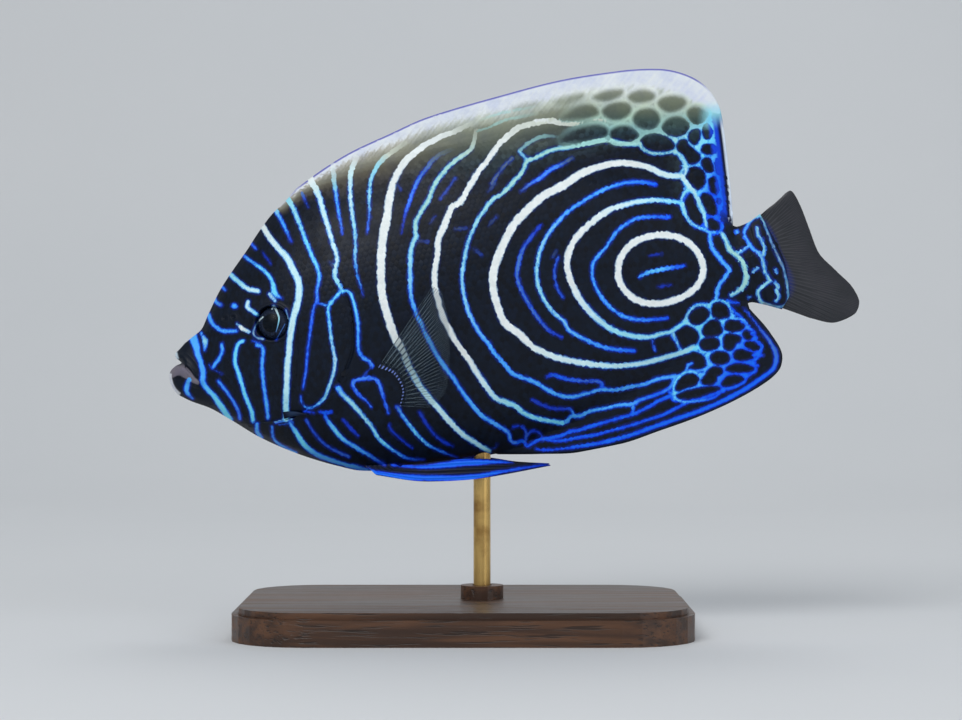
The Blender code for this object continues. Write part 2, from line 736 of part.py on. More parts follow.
def add_stand(pose, trunk, wood, brass):
    """The base and its rod, which reaches up into a socket in the belly."""
    belly = Vector((ROD_BELLY_U, 0.0, belly_v(ROD_BELLY_U))) * MM
    bpy.context.view_layer.update()
    spot = pose.matrix_world @ belly
    rod_x = spot.x
    rod_top = spot.z / MM + ROD_IN_BELLY
    base = make_base(wood)
    base.location.x = rod_x - BASE_FORWARD * MM
    collar_high = BASE_HEIGHT + COLLAR_HEIGHT
    collar = cutter("collar", round_bar("collar", COLLAR_RADIUS, COLLAR_FOOT, collar_high))
    hole_mesh = round_bar("base_hole", ROD_RADIUS + GAP, ROD_FOOT - GAP, 2 * collar_high)
    hole = cutter("base_hole", hole_mesh)
    rod_mesh = round_bar("stand_rod", ROD_RADIUS, ROD_FOOT, rod_top)
    rod = new_object("stand_rod", rod_mesh, None, brass)
    rod.data.set_sharp_from_angle(angle=math.radians(SHARP_ANGLE_DEG))
    socket_mesh = round_bar(
        "belly_socket", ROD_RADIUS + GAP, rod_top - 4 * ROD_IN_BELLY, rod_top + GAP
    )
    socket = cutter("belly_socket", socket_mesh)
    for piece in (collar, hole, rod, socket):
        piece.location.x = rod_x
    boolean(base, "UNION", collar)
    boolean(base, "DIFFERENCE", hole)
    boolean(trunk, "DIFFERENCE", socket)


def stand_fish_over_base(pose, fish):
    """Centres the tilted fish over the origin and lifts it clear of the base."""
    bpy.context.view_layer.update()
    graph = bpy.context.evaluated_depsgraph_get()
    spots = []
    for piece in fish:
        solid = piece.evaluated_get(graph)
        spots += [solid.matrix_world @ vertex.co for vertex in solid.data.vertices]
    low_x = min(spot.x for spot in spots)
    high_x = max(spot.x for spot in spots)
    low_z = min(spot.z for spot in spots)
    pose.location.x = -(low_x + high_x) / 2
    pose.location.z = (BASE_HEIGHT + FISH_CLEARANCE) * MM - low_z


def main():
    clear_scene()
    pose = bpy.data.objects.new("fish_pose", None)
    bpy.context.scene.collection.objects.link(pose)
    pose.rotation_euler = (0.0, -math.radians(NOSE_DOWN_DEG), 0.0)

    skin = material("dark_skin", (0.012, 0.016, 0.035), 0.35)
    lips = material("lip_skin", (0.03, 0.05, 0.11), 0.35)
    fin_skin = material("blue_fin", (0.02, 0.07, 0.30), 0.35)
    web = material("grey_fin_web", (0.10, 0.10, 0.13), 0.45)
    clear_web = material("pale_fin_web", (0.30, 0.33, 0.38), 0.40)
    eye_glass = material("dark_eye", (0.01, 0.012, 0.02), 0.05)
    wood = material("black_wood", (0.03, 0.028, 0.026), 0.40)
    brass = material("brass_rod", (0.70, 0.52, 0.22), 0.28, 1.0)

    head = make_head(pose, skin)
    covers = [make_gill_cover(s, word, pose, skin) for s, word in ((-1, "left"), (1, "right"))]
    jaw_rear = beside(drawn(JAW_LINE, JAW_STEPS), -GAP)
    above = [(MOUTH_FRONT_U, REACH), (UPPER_JAW_REAR_U, REACH)]
    above += [spot for spot in jaw_rear if spot[1] > 0.0]
    below = [(MOUTH_FRONT_U, -REACH), (LOWER_JAW_REAR_U, -REACH)]
    below += [spot for spot in jaw_rear[::-1] if spot[1] < LOWER_JAW_TOP_V]
    upper_jaw = make_jaw(
        "upper_jaw", UPPER_MOUTH_LINE, UPPER_LIP, UPPER_LIP_FRONT, UPPER_LIP_RADIUS, above,
        pose, lips,
    )
    lower_jaw = make_jaw(
        "lower_jaw", LOWER_MOUTH_LINE, LOWER_LIP, LOWER_LIP_FRONT, LOWER_LIP_RADIUS, below,
        pose, lips,
    )
    trunk_outline = beside(drawn(GILL_LINE, GILL_STEPS), GAP) + [
        (GILL_LINE[-1][0], -REACH), (STEM_START_U, -REACH), (STEM_START_U, REACH),
        (SHOULDER_U, REACH),
    ]
    trunk = body_piece("trunk", trunk_outline, pose, skin)
    stem_outline = drawn(TAIL_LINE, TAIL_STEPS) + [
        (TAIL_LINE[-1][0], -REACH), (STEM_START_U + GAP, -REACH),
        (STEM_START_U + GAP, REACH), (TAIL_LINE[0][0], REACH),
    ]
    stem = body_piece("tail_stem", stem_outline, pose, skin)
    dorsal = upright_fin(
        "dorsal_fin", beside(DORSAL_BASE, GAP), DORSAL_EDGE, DORSAL_SPINES + DORSAL_SOFT_RAYS,
        pose, fin_skin,
    )
    anal = upright_fin(
        "anal_fin", beside(ANAL_BASE, -GAP), ANAL_EDGE, ANAL_SPINES + ANAL_SOFT_RAYS,
        pose, fin_skin,
    )
    tail = tail_fin(pose, web)
    fish = [head, *covers, upper_jaw, lower_jaw, trunk, stem, dorsal, anal, tail]
    for side, word in ((-1, "left"), (1, "right")):
        fish.append(make_eye(side, word, pose, eye_glass))
        fish.append(pectoral_fin("pectoral_fin_" + word, side, pose, clear_web))
        fish.append(pelvic_fin("pelvic_fin_" + word, side, pose, fin_skin))
    stand_fish_over_base(pose, fish)
    add_stand(pose, trunk, wood, brass)


main()
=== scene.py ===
# %% [markdown]
# # A young emperor angelfish on its stand
#
# This lesson dresses a small display model: a life-size emperor angelfish in the dress it
# wears when young, black with white and blue rings. The solids are already packed, so each
# piece below is laid exactly where its solid lies. One smooth skin covers the body and the
# two upright fins, and the loose fins, the eyes and the scales are pieces of their own.

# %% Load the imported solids
import math

import bmesh
import bpy
import numpy as np
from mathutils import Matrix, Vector
from mathutils.geometry import delaunay_2d_cdt


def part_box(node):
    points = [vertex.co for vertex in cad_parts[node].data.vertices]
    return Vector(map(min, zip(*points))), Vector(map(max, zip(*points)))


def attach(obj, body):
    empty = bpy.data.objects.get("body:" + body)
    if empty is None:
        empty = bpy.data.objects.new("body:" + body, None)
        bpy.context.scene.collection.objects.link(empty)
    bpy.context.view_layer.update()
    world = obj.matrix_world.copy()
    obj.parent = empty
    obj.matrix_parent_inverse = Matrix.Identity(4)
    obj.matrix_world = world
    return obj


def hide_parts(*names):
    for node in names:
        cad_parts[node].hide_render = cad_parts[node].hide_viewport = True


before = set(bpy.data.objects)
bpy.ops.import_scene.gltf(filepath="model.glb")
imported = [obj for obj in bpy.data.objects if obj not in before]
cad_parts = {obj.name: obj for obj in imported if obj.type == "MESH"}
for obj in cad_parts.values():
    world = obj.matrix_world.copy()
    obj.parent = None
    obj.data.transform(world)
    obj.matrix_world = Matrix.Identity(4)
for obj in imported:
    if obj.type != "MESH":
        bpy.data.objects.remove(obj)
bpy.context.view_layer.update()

print("solids:", ", ".join(sorted(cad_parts)))

# %% [markdown]
# ## The fish's own frame
#
# A fish is easiest to describe lying level. So every shape is given in millimetres from
# the mouth: u runs to the tail, v runs up and w runs sideways, negative on the fish's left.
# The whole fish then tips nose down by twelve degrees. Its place follows from the rod of
# the stand, which ends a few millimetres inside the belly.

# %% From the fish's frame to the room
MM = 0.001
NOSE_DOWN = math.radians(12.0)
COS = math.cos(NOSE_DOWN)
SIN = math.sin(NOSE_DOWN)
ROD_BELLY = (54.0, -25.7)
ROD_IN_BELLY = 5.0

rod_low, rod_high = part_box("stand_rod")
FISH_X = 0.5 * (rod_low.x + rod_high.x) - MM * (ROD_BELLY[0] * COS - ROD_BELLY[1] * SIN)
FISH_Z = rod_high.z - MM * (ROD_IN_BELLY + ROD_BELLY[0] * SIN + ROD_BELLY[1] * COS)


def room(points):
    """Points of the fish's frame, in millimetres, as places in the room, in metres."""
    u, v, w = np.asarray(points, float).T
    return np.stack([FISH_X + MM * (u * COS - v * SIN), MM * w, FISH_Z + MM * (u * SIN + v * COS)], 1)


def fish(place):
    """A place in the room, in metres, as a point of the fish's frame."""
    across = (place[0] - FISH_X) / MM
    up = (place[2] - FISH_Z) / MM
    return across * COS + up * SIN, up * COS - across * SIN, place[1] / MM


print("the mouth is at", [round(c, 4) for c in room([(0.0, 0.0, 0.0)])[0]])

# %% [markdown]
# ## Camera
#
# The fish was seen square from its left side, so the camera looks level along the room's
# y axis. One pixel of the picture covers 0.1876 mm in the fish's middle plane, and that
# settles the lens once the distance is chosen. The picture is 962 pixels wide and 720 high.

# %% Set up the camera
PICTURE = (962, 720)
PIXEL = 0.1876
MOUTH_PIXEL = (172, 378)
CAMERA_DISTANCE = 500.0
SENSOR = 36.0

camera_data = bpy.data.cameras.new("camera")
camera_data.sensor_width = SENSOR
camera_data.lens = SENSOR * CAMERA_DISTANCE / (PICTURE[0] * PIXEL)
camera_data.clip_start = 0.02
camera_data.clip_end = 20.0
camera = bpy.data.objects.new("camera", camera_data)
bpy.context.scene.collection.objects.link(camera)
camera.location = (
    FISH_X + MM * PIXEL * (PICTURE[0] / 2 - MOUTH_PIXEL[0]),
    -MM * CAMERA_DISTANCE,
    FISH_Z + MM * PIXEL * (MOUTH_PIXEL[1] - PICTURE[1] / 2),
)
camera.rotation_euler = (math.radians(90.0), 0.0, 0.0)
bpy.context.scene.camera = camera


def seen(u, v, w):
    """Where the camera sees points of the fish, in pixels from the picture's top left."""
    nearer = CAMERA_DISTANCE / (CAMERA_DISTANCE + w)
    x = MOUTH_PIXEL[0] + (u * COS - v * SIN) / PIXEL - PICTURE[0] / 2
    y = MOUTH_PIXEL[1] - (u * SIN + v * COS) / PIXEL - PICTURE[1] / 2
    return PICTURE[0] / 2 + x * nearer, PICTURE[1] / 2 + y * nearer


print("lens", round(camera_data.lens, 1), "mm")

# %% [markdown]
# ## Floor and light
#
# A model like this is photographed on a sheet of pale paper that rises behind it in one
# soft curve, so no horizon shows. The sheet is a strip of mesh. Two broad lamps and a pale
# sky keep the shadows soft.

# %% Lay the paper sheet


def mesh_of(name, places, faces):
    """A mesh from places in the room and the numbers of each face's corners."""
    mesh = bpy.data.meshes.new(name)
    mesh.from_pydata(places.tolist(), [], faces.tolist())
    mesh.update()
    return mesh


def quads_of(numbers):
    """The four corners of each square in a grid of numbered places."""
    corners = [numbers[:-1, :-1], numbers[1:, :-1], numbers[1:, 1:], numbers[:-1, 1:]]
    return np.stack([c.ravel() for c in corners], 1)


def sheet_of_quads(name, grid, close=False):
    """A mesh over a grid of places in the room, given as rows of columns."""
    rows, columns = grid.shape[:2]
    numbers = np.arange(rows * columns).reshape(rows, columns)
    if close:
        numbers = np.concatenate([numbers, numbers[:, :1]], 1)
    return mesh_of(name, grid.reshape(-1, 3), quads_of(numbers))


def add_piece(name, mesh, finish=None):
    """Puts a mesh in the scene as an object, smooth shaded, with its finish."""
    made = bpy.data.objects.new(name, mesh)
    bpy.context.scene.collection.objects.link(made)
    if finish:
        mesh.materials.append(finish)
    mesh.shade_smooth()
    return made


def triangles(piece):
    piece.data.calc_loop_triangles()
    return len(piece.data.loop_triangles)


SHEET_HALF_WIDTH = 2.2
SHEET_FRONT = -1.4
SHEET_BEND_START = 0.45
SHEET_BEND_RADIUS = 0.5
SHEET_TOP = 1.9
BEND_STEPS = 24

profile = [(SHEET_FRONT, 0.0), (-0.4, 0.0), (0.0, 0.0)]
for step in range(BEND_STEPS + 1):
    angle = math.radians(90.0) * step / BEND_STEPS
    back = SHEET_BEND_START + SHEET_BEND_RADIUS * math.sin(angle)
    profile.append((back, SHEET_BEND_RADIUS * (1.0 - math.cos(angle))))
profile.append((SHEET_BEND_START + SHEET_BEND_RADIUS, SHEET_TOP))
sheet_grid = np.array([[(x, y, z) for x in (-SHEET_HALF_WIDTH, SHEET_HALF_WIDTH)] for y, z in profile])
paper = add_piece("paper_sheet", sheet_of_quads("paper_sheet", sheet_grid))
print("paper sheet:", len(paper.data.polygons), "faces")

# %% [markdown]
# A finish in this lesson is a small graph of nodes. Wiring each by hand would fill pages, so
# short helpers add a node and fill its sockets in one go: a number or colour is set on the
# socket, and a socket of another node is linked to it. They all work on the finish that was
# opened last, whose nodes are `tree`. The paper gets a faint cloudiness, since real paper is
# never one flat tone.

# %% A helper for finishes, and the paper's finish


def linear(red, green, blue):
    """A screen colour, 0 to 255, as the linear light that shaders work in."""
    shares = [c / 255.0 for c in (red, green, blue)]
    return tuple(s / 12.92 if s <= 0.04045 else ((s + 0.055) / 1.055) ** 2.4 for s in shares)


def new_finish(name, **sockets):
    """Opens a finish with one main shader, whose plain numbers are set on its own sockets."""
    made = bpy.data.materials.new(name)
    made.use_nodes = True
    shader = made.node_tree.nodes["Principled BSDF"]
    for socket, value in sockets.items():
        shader.inputs[socket.replace("_", " ")].default_value = value
    return made, made.node_tree, shader


def fill(socket, value):
    """Sets a number or a colour on a socket, or links another node's socket to it."""
    if isinstance(value, bpy.types.NodeSocket):
        tree.links.new(value, socket)
    elif isinstance(value, tuple) and socket.type == "RGBA":
        socket.default_value = (*value, 1.0)
    else:
        socket.default_value = value


def link(value, socket):
    """Lets a node decide one of the main shader's sockets."""
    tree.links.new(value, shader.inputs[socket])


def add(kind, settings=None, **sockets):
    """Adds a node; a socket's name is written with _ for a space."""
    made = tree.nodes.new("ShaderNode" + kind)
    for name, value in (settings or {}).items():
        setattr(made, name, value)
    for name, value in sockets.items():
        fill(made.inputs[name.replace("_", " ")], value)
    return made


def read(name, output="Fac"):
    """What the corners of the mesh store under a name."""
    return add("Attribute", {"attribute_name": name}).outputs[output]


def noise(place, scale, detail, **more):
    return add("TexNoise", Vector=place, Scale=scale, Detail=detail, **more).outputs["Fac"]


def mix(share, first, second, kind="MIX"):
    """The colour between two colours."""
    made = add("Mix", {"data_type": "RGBA", "blend_type": kind})
    for socket, value in zip((made.inputs["Factor"], *made.inputs[6:8]), (share, first, second)):
        fill(socket, value)
    return made.outputs[2]


def ramp(value, low, high, start=0.0, end=1.0):
    """A soft step: start below low, end above high."""
    ends = {"From_Min": low, "From_Max": high, "To_Min": start, "To_Max": end}
    return add("MapRange", {"interpolation_type": "SMOOTHSTEP"}, Value=value, **ends).outputs["Result"]


def maths(operation, first, second=0.0):
    made = add("Math", {"operation": operation})
    fill(made.inputs[0], first)
    fill(made.inputs[1], second)
    return made.outputs[0]


def times(first, second):
    return maths("MULTIPLY", first, second)


paper_finish, tree, shader = new_finish("pale_paper", Roughness=0.9, Specular_IOR_Level=0.2)
cloud = noise(add("NewGeometry").outputs["Position"], 3.0, 4.0)
link(mix(cloud, (0.62, 0.64, 0.66), (0.70, 0.71, 0.72)), "Base Color")
paper.data.materials.append(paper_finish)
print("the paper's finish has", len(tree.nodes), "nodes")

# %% [markdown]
# Big soft boxes light such a model best: small lamps would leave hard spots on the scales.
# One box is the key light from the left, a weaker one fills the right side, and one behind
# draws a fine edge of light along the back. The sky only lifts the shadows.

# %% Hang the lamps


def lamp(name, place, aim, size, power, colour=(1.0, 1.0, 1.0)):
    """A square soft box that faces a point."""
    data = bpy.data.lights.new(name, "AREA")
    data.size = size
    data.energy = power
    data.color = colour
    made = bpy.data.objects.new(name, data)
    bpy.context.scene.collection.objects.link(made)
    made.location = place
    made.rotation_euler = (Vector(aim) - Vector(place)).to_track_quat("-Z", "Y").to_euler()
    return made


FISH_MIDDLE = tuple(room([(57.0, 4.0, 0.0)])[0])
lamp("key_lamp", (-0.35, -0.75, 0.75), FISH_MIDDLE, 0.55, 6.0)
lamp("fill_lamp", (0.75, -0.60, 0.35), FISH_MIDDLE, 0.60, 2.2, (0.93, 0.96, 1.0))
lamp("back_lamp", (0.10, 0.65, 0.95), FISH_MIDDLE, 0.50, 2.5)
world = bpy.data.worlds.new("pale_sky")
world.use_nodes = True
sky = world.node_tree.nodes["Background"]
sky.inputs["Color"].default_value = (0.90, 0.95, 1.0, 1.0)
sky.inputs["Strength"].default_value = 0.40
bpy.context.scene.world = world
bpy.context.scene.view_settings.view_transform = "Standard"

# %% [markdown]
# ## Stand
#
# The stand is not part of the fish. Its two solids could be dressed in new meshes, but they
# are right as they are, so they only get finishes: dark stained oak with long pores for the
# base, and drawn brass, satin from its polish and a little browned by handling, for the rod.

# %% Finish the stand
wood, tree, shader = new_finish("stained_oak", Specular_IOR_Level=0.45)
place = add("TexCoord").outputs["Object"]
along = add("Mapping", Vector=place, Scale=(28.0, 420.0, 420.0)).outputs["Vector"]
rings = noise(along, 1.0, 5.0, Distortion=0.6)
pores_at = add("Mapping", Vector=place, Scale=(130.0, 2600.0, 2600.0)).outputs["Vector"]
pores = ramp(noise(pores_at, 1.0, 2.0), 0.56, 0.66)
grain = ramp(rings, 0.35, 0.65)
stain = mix(grain, linear(54, 34, 22), linear(92, 60, 38))
stain = mix(times(pores, 0.75), stain, linear(28, 17, 11))
link(stain, "Base Color")
link(ramp(rings, 0.3, 0.7, 0.34, 0.48), "Roughness")
bump = add("Bump", Height=pores, Strength=0.35, Distance=-0.0002)
link(bump.outputs["Normal"], "Normal")

brass, tree, shader = new_finish("satin_brass", Metallic=1.0)
place = add("TexCoord").outputs["Object"]
drawn_at = add("Mapping", Vector=place, Scale=(2500.0, 2500.0, 60.0)).outputs["Vector"]
drawn = noise(drawn_at, 1.0, 3.0)
tarnish = ramp(noise(place, 180.0, 4.0), 0.45, 0.75)
link(mix(tarnish, linear(214, 178, 110), linear(150, 112, 62)), "Base Color")
link(ramp(drawn, 0.3, 0.7, 0.24, 0.40), "Roughness")

for node, finish in (("stand_base", wood), ("stand_rod", brass)):
    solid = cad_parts[node]
    solid.data.materials.clear()
    solid.data.materials.append(finish)
    print(node, "is", finish.name)

# %% [markdown]
# ## The fish in side view
#
# The outline comes first: the back and belly lines and the free edges of the two upright
# fins, in millimetres. It follows that of the solids, only the belly hangs up to a
# millimetre lower. It could be traced point by point, but a smooth curve through a few
# measured points is truer to an animal than many short straight lines.

# %% Smooth curves through measured points


def smooth_through(knots):
    """A smooth function through (x, y) knots that never swings past a knot."""
    x = np.array([k[0] for k in knots], float)
    y = np.array([k[1] for k in knots], float)
    step = np.diff(x)
    rise = np.diff(y) / step
    before = rise[:-1]
    after = rise[1:]
    same = before * after > 0.0
    total = np.where(same, before + after, 1.0)
    slope = np.concatenate([rise[:1], np.where(same, 2.0 * before * after / total, 0.0), rise[-1:]])

    def value(at):
        at = np.asarray(at, float)
        i = np.clip(np.searchsorted(x, at) - 1, 0, len(step) - 1)
        t = (at - x[i]) / step[i]
        start = (1 + 2 * t) * (1 - t) ** 2 * y[i] + t * (1 - t) ** 2 * step[i] * slope[i]
        end = t * t * (3 - 2 * t) * y[i + 1] + t * t * (t - 1) * step[i] * slope[i + 1]
        return start + end

    return value


def curve_through(points):
    """A smooth curve through points, as a function of the share of its length."""
    points = np.array(points, float)
    run = np.concatenate([[0.0], np.cumsum(np.linalg.norm(np.diff(points, axis=0), axis=1))])
    axes = [smooth_through(list(zip(run / run[-1], points[:, axis]))) for axis in range(points.shape[1])]
    return lambda share: np.stack([axis(share) for axis in axes], -1)


def drawn_curve(points, spacing=0.3):
    """Points along the smooth curve through some points, evenly spaced."""
    along = curve_through(points)(np.linspace(0.0, 1.0, 400))
    run = np.concatenate([[0.0], np.cumsum(np.linalg.norm(np.diff(along, axis=0), axis=1))])
    at = np.linspace(0.0, run[-1], max(2, round(run[-1] / spacing) + 1))
    return np.stack([np.interp(at, run, along[:, axis]) for axis in range(along.shape[1])], -1)


BACK = [
    (-0.5, 0.0), (0.9, 2.5), (2.1, 4.35), (3.75, 5.9), (5.4, 6.75), (7.2, 7.7), (9.05, 10.15),
    (12.2, 14.2), (18.8, 20.6), (24.8, 26.2), (30.0, 29.0), (36.0, 31.0), (46.0, 32.6),
    (57.0, 32.8), (70.0, 31.0), (82.0, 26.8), (92.0, 20.8), (100.0, 13.8), (106.0, 8.0),
    (109.0, 5.7), (111.5, 6.0), (114.3, 7.2), (118.0, 8.2),
]
BELLY = [
    (-0.5, -1.1), (0.8, -3.6), (2.6, -5.0), (5.8, -7.0), (9.2, -10.0), (13.7, -14.2),
    (19.8, -18.6), (23.6, -20.85), (27.0, -22.6), (31.0, -24.35), (36.0, -25.3), (46.0, -26.2),
    (55.0, -26.6), (64.0, -25.3), (74.0, -23.3), (84.0, -20.4), (93.0, -16.6), (100.0, -12.8),
    (105.0, -9.6), (108.0, -8.3), (111.0, -9.4), (114.3, -11.0), (118.0, -12.2),
]
HALF_WIDTH = [
    (-0.5, 0.9), (0.5, 1.7), (2.0, 2.3), (4.0, 2.9), (6.0, 3.4), (10.0, 4.9), (15.0, 6.6),
    (20.0, 8.0), (27.0, 9.4), (34.0, 10.2), (42.0, 10.5), (52.0, 10.1), (64.0, 8.9),
    (76.0, 7.2), (88.0, 5.3), (98.0, 3.7), (106.0, 2.75), (112.0, 2.3), (118.0, 1.6),
]
back_v = smooth_through(BACK)
belly_v = smooth_through(BELLY)
widest = smooth_through(HALF_WIDTH)
print("body", round(float(back_v(57.0) - belly_v(57.0)), 1), "mm deep")
print("body", round(2 * float(widest(42.0)), 1), "mm thick")

# %% [markdown]
# The skin runs from the snout over the back, round the dorsal fin, across the root of the
# tail and back along the anal fin and the belly. It could be one long list, but short
# stretches between the corners keep every corner sharp, and each has a name.

# %% The whole outline of the skin, fins included
UPPER_SNOUT = [(2.35, 2.45), (2.0, 2.95), (1.62, 3.35), (1.48, 3.9), (1.62, 4.4), (2.3, 4.85), (3.75, 5.9)]
LOWER_SNOUT = [
    (2.35, 2.45), (2.2, 2.28), (1.6, 2.2), (0.9, 1.95), (0.2, 1.5), (-0.28, 0.85),
    (-0.43, 0.1), (-0.44, -0.9), (-0.2, -2.0), (0.3, -3.0), (0.8, -3.6),
]
DORSAL_FRONT = [(26.5, 27.15), (28.4, 28.55), (30.2, 29.95)]
DORSAL_EDGE = [
    (30.2, 29.95), (36.5, 32.7), (41.7, 34.5), (49.5, 36.3), (57.1, 37.9), (69.6, 38.9),
    (82.8, 39.5), (94.2, 38.9), (101.6, 37.69), (106.8, 35.2), (109.9, 31.7), (111.1, 27.4),
    (110.3, 16.4), (109.2, 7.6),
]
STEM_TOP = [(108.9, 6.1), (109.6, 5.75), (111.5, 6.0), (114.3, 7.2)]
TAIL_LINE = [(114.3, 7.2), (116.0, 1.8), (117.0, -3.5), (116.75, -8.2), (114.6, -11.2)]
STEM_BELLY = [(114.6, -11.2), (111.0, -9.4), (109.0, -8.7), (108.3, -8.8)]
ANAL_EDGE = [
    (108.7, -9.8), (111.5, -14.9), (112.9, -19.4), (112.0, -21.9), (106.6, -24.8),
    (95.4, -27.6), (87.5, -28.7), (79.6, -29.6), (72.0, -29.5), (64.5, -28.3), (60.0, -27.4),
    (56.5, -26.65),
]
ALONG_BACK = (3.75, 5.4, 7.2, 9.05, 12.2, 15.5, 18.8, 21.8, 24.8, 26.5)
ALONG_BELLY = (56.5, 46.0, 36.0, 31.0, 27.0, 23.6, 19.8, 13.7, 9.2, 5.8, 2.6, 0.8)

back_part = [(u, float(back_v(u))) for u in ALONG_BACK]
belly_part = [(u, float(belly_v(u))) for u in ALONG_BELLY]
outline_parts = [
    UPPER_SNOUT, back_part, DORSAL_FRONT, DORSAL_EDGE, STEM_TOP, TAIL_LINE, STEM_BELLY, ANAL_EDGE,
    belly_part, LOWER_SNOUT[::-1],
]
outline = np.concatenate([drawn_curve(part)[:-1] for part in outline_parts])
print("outline:", len(outline), "points")

# %% [markdown]
# ## How thick the fish is
#
# The skin is a hill: at each point of the side view it has a height, which is half the
# fish's thickness there. The body is one smooth hill, widest behind the gills. The fins
# are low plateaus that the body's slope runs into without an edge, as scaly fin bases do.
# At the outline everything rounds over, so the two sides meet in a smooth rim.

# %% Distances and sides


def distance_to(points, line, close=False, reach=None):
    """Each point's distance to a line of points, and how far along the line its foot is."""
    line = np.asarray(line, float)
    if close:
        line = np.concatenate([line, line[:1]])
    best = np.full(len(points), 1e9 if reach is None else reach)
    share = np.zeros(len(points))
    block = 24
    for first in range(0, len(line) - 1, block):
        part = line[first:first + block + 1]
        margin = best.max() if reach is None else reach
        low = part.min(0) - margin
        high = part.max(0) + margin
        near = np.nonzero(((points > low) & (points < high)).all(1))[0]
        if not len(near):
            continue
        start = part[:-1]
        along = part[1:] - start
        size = np.maximum((along ** 2).sum(1), 1e-12)
        to = points[near][:, None, :] - start[None]
        t = np.clip((to * along[None]).sum(2) / size, 0.0, 1.0)
        gap = np.sqrt(((to - t[..., None] * along[None]) ** 2).sum(2))
        pick = gap.argmin(1)
        rows = np.arange(len(near))
        closest = gap[rows, pick]
        better = closest < best[near]
        best[near[better]] = closest[better]
        share[near[better]] = (first + pick + t[rows, pick])[better]
    return best, share / (len(line) - 1)


def inside(points, loop):
    """Which points lie inside a closed loop."""
    crossed = np.zeros(len(points), bool)
    for (u0, v0), (u1, v1) in zip(loop, np.roll(loop, -1, axis=0)):
        spans = (v0 > points[:, 1]) != (v1 > points[:, 1])
        if spans.any():
            crossing = u0 + (points[spans, 1] - v0) * (u1 - u0) / (v1 - v0)
            hit = np.nonzero(spans)[0][points[spans, 0] < crossing]
            crossed[hit] = ~crossed[hit]
    return crossed


def soft_step(value, low, high):
    """A smooth climb from 0 at low to 1 at high."""
    t = np.clip((value - low) / (high - low), 0.0, 1.0)
    return t * t * (3.0 - 2.0 * t)


def fall(value, low, high):
    """A smooth drop from 1 at low to 0 at high."""
    return 1.0 - soft_step(value, low, high)


def soft_max(first, second, blend):
    """The larger of two heights, with the crease between them filled in."""
    share = np.clip(0.5 + 0.5 * (first - second) / blend, 0.0, 1.0)
    return second + (first - second) * share + blend * share * (1.0 - share)


# %% [markdown]
# A ray is a thin rod inside the fin that lifts the skin over it. Modelling each rod would
# be lost work, so the fin's height carries a low ridge for each. To know where a ridge
# runs, every point is placed between the fin's base and its free edge, from front to rear.

# %% Rays of the upright fins
DORSAL_BASE = [
    (29.2, 28.6), (36.0, 31.0), (46.0, 32.6), (57.0, 32.8), (70.0, 31.0), (82.0, 26.8),
    (92.0, 20.8), (100.0, 13.8), (107.2, 7.1),
]
ANAL_BASE = [
    (58.0, -25.6), (64.0, -25.0), (74.0, -23.3), (84.0, -20.4), (93.0, -16.6), (100.0, -12.8),
    (107.2, -8.7),
]
DORSAL_RAYS = 33
ANAL_RAYS = 22
RAY_HEIGHT = 0.07
FIN_ROOT_HALF = 0.8
FIN_EDGE_HALF = 0.28


def fin_places(points, base, edge):
    """The share along the fin from front to rear, and the share out to its edge, of points."""
    base_at = curve_through(base)
    edge_at = curve_through(edge)
    low = np.zeros(len(points))
    high = np.ones(len(points))
    front = base_at(0.0) - edge_at(0.0)
    behind = base_at(0.5) - base_at(0.0)
    turn = np.sign(front[0] * behind[1] - front[1] * behind[0])
    for _ in range(18):
        middle = 0.5 * (low + high)
        root = base_at(middle)
        out = root - edge_at(middle)
        to = points - root
        ahead = turn * (out[:, 0] * to[:, 1] - out[:, 1] * to[:, 0]) > 0.0
        low = np.where(ahead, middle, low)
        high = np.where(ahead, high, middle)
    root = base_at(low)
    tip = edge_at(low)
    way = tip - root
    out = ((points - root) * way).sum(1) / (way ** 2).sum(1)
    return low, out


def fin_height(points, base, edge, rays):
    """Half the thickness of a fin, with a low ridge for each ray."""
    along, out = fin_places(points, base, edge)
    share = np.clip(out, 0.0, 1.0)
    plain = FIN_ROOT_HALF + (FIN_EDGE_HALF - FIN_ROOT_HALF) * share ** 0.8
    ridge = 0.5 + 0.5 * np.cos(2.0 * np.pi * along * rays)
    fade = soft_step(out, 0.0, 0.35) * (1.0 - 0.5 * share)
    return plain + RAY_HEIGHT * fade * ridge ** 2


# %% [markdown]
# The head carries the fine forms: thick lips with the slit of the mouth between them, two
# nostrils with raised rims, the ring of the orbit, the groove in front of the cheek and the
# free rear edge of the gill cover, which stands a little proud of the shoulder. They could
# be cut out of the mesh, but a form that is only added to the height leaves no seam.

# %% Forms of the head
eye_low, eye_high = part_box("eye_left")
EYE_U, EYE_V, _ = fish([0.5 * (a + b) for a, b in zip(eye_low, eye_high)])
EYE_RADIUS = 3.1
ORBIT_RIM = 0.32
NOSTRILS = [(12.4, 8.75, 0.42), (14.05, 8.6, 0.34)]
MOUTH_SLIT = [(1.2, 2.25), (2.35, 2.38), (3.0, 1.75), (3.85, 0.55), (4.5, -0.75), (5.0, -1.25)]
UPPER_LIP = [(1.9, 3.7), (3.0, 3.0), (3.9, 1.75), (4.65, 0.1)]
LOWER_LIP = [(0.5, 0.85), (2.2, 1.2), (3.2, 0.25), (4.1, -1.1), (4.7, -1.6)]
GILL_EDGE = [
    (27.5, 11.6), (30.0, 11.9), (33.4, 11.6), (35.6, 10.3), (36.2, 5.0), (35.4, -1.1), (33.5, -4.9),
    (30.1, -8.6), (26.8, -10.6), (23.3, -11.7), (18.8, -12.3), (14.0, -11.7), (10.9, -11.1),
]
CHEEK_GROOVE = [(25.9, 9.0), (25.2, 3.0), (23.8, -3.0), (21.6, -8.0), (18.8, -11.0)]
SLIT_DEPTH = 0.95
SLIT_HALF = 0.28
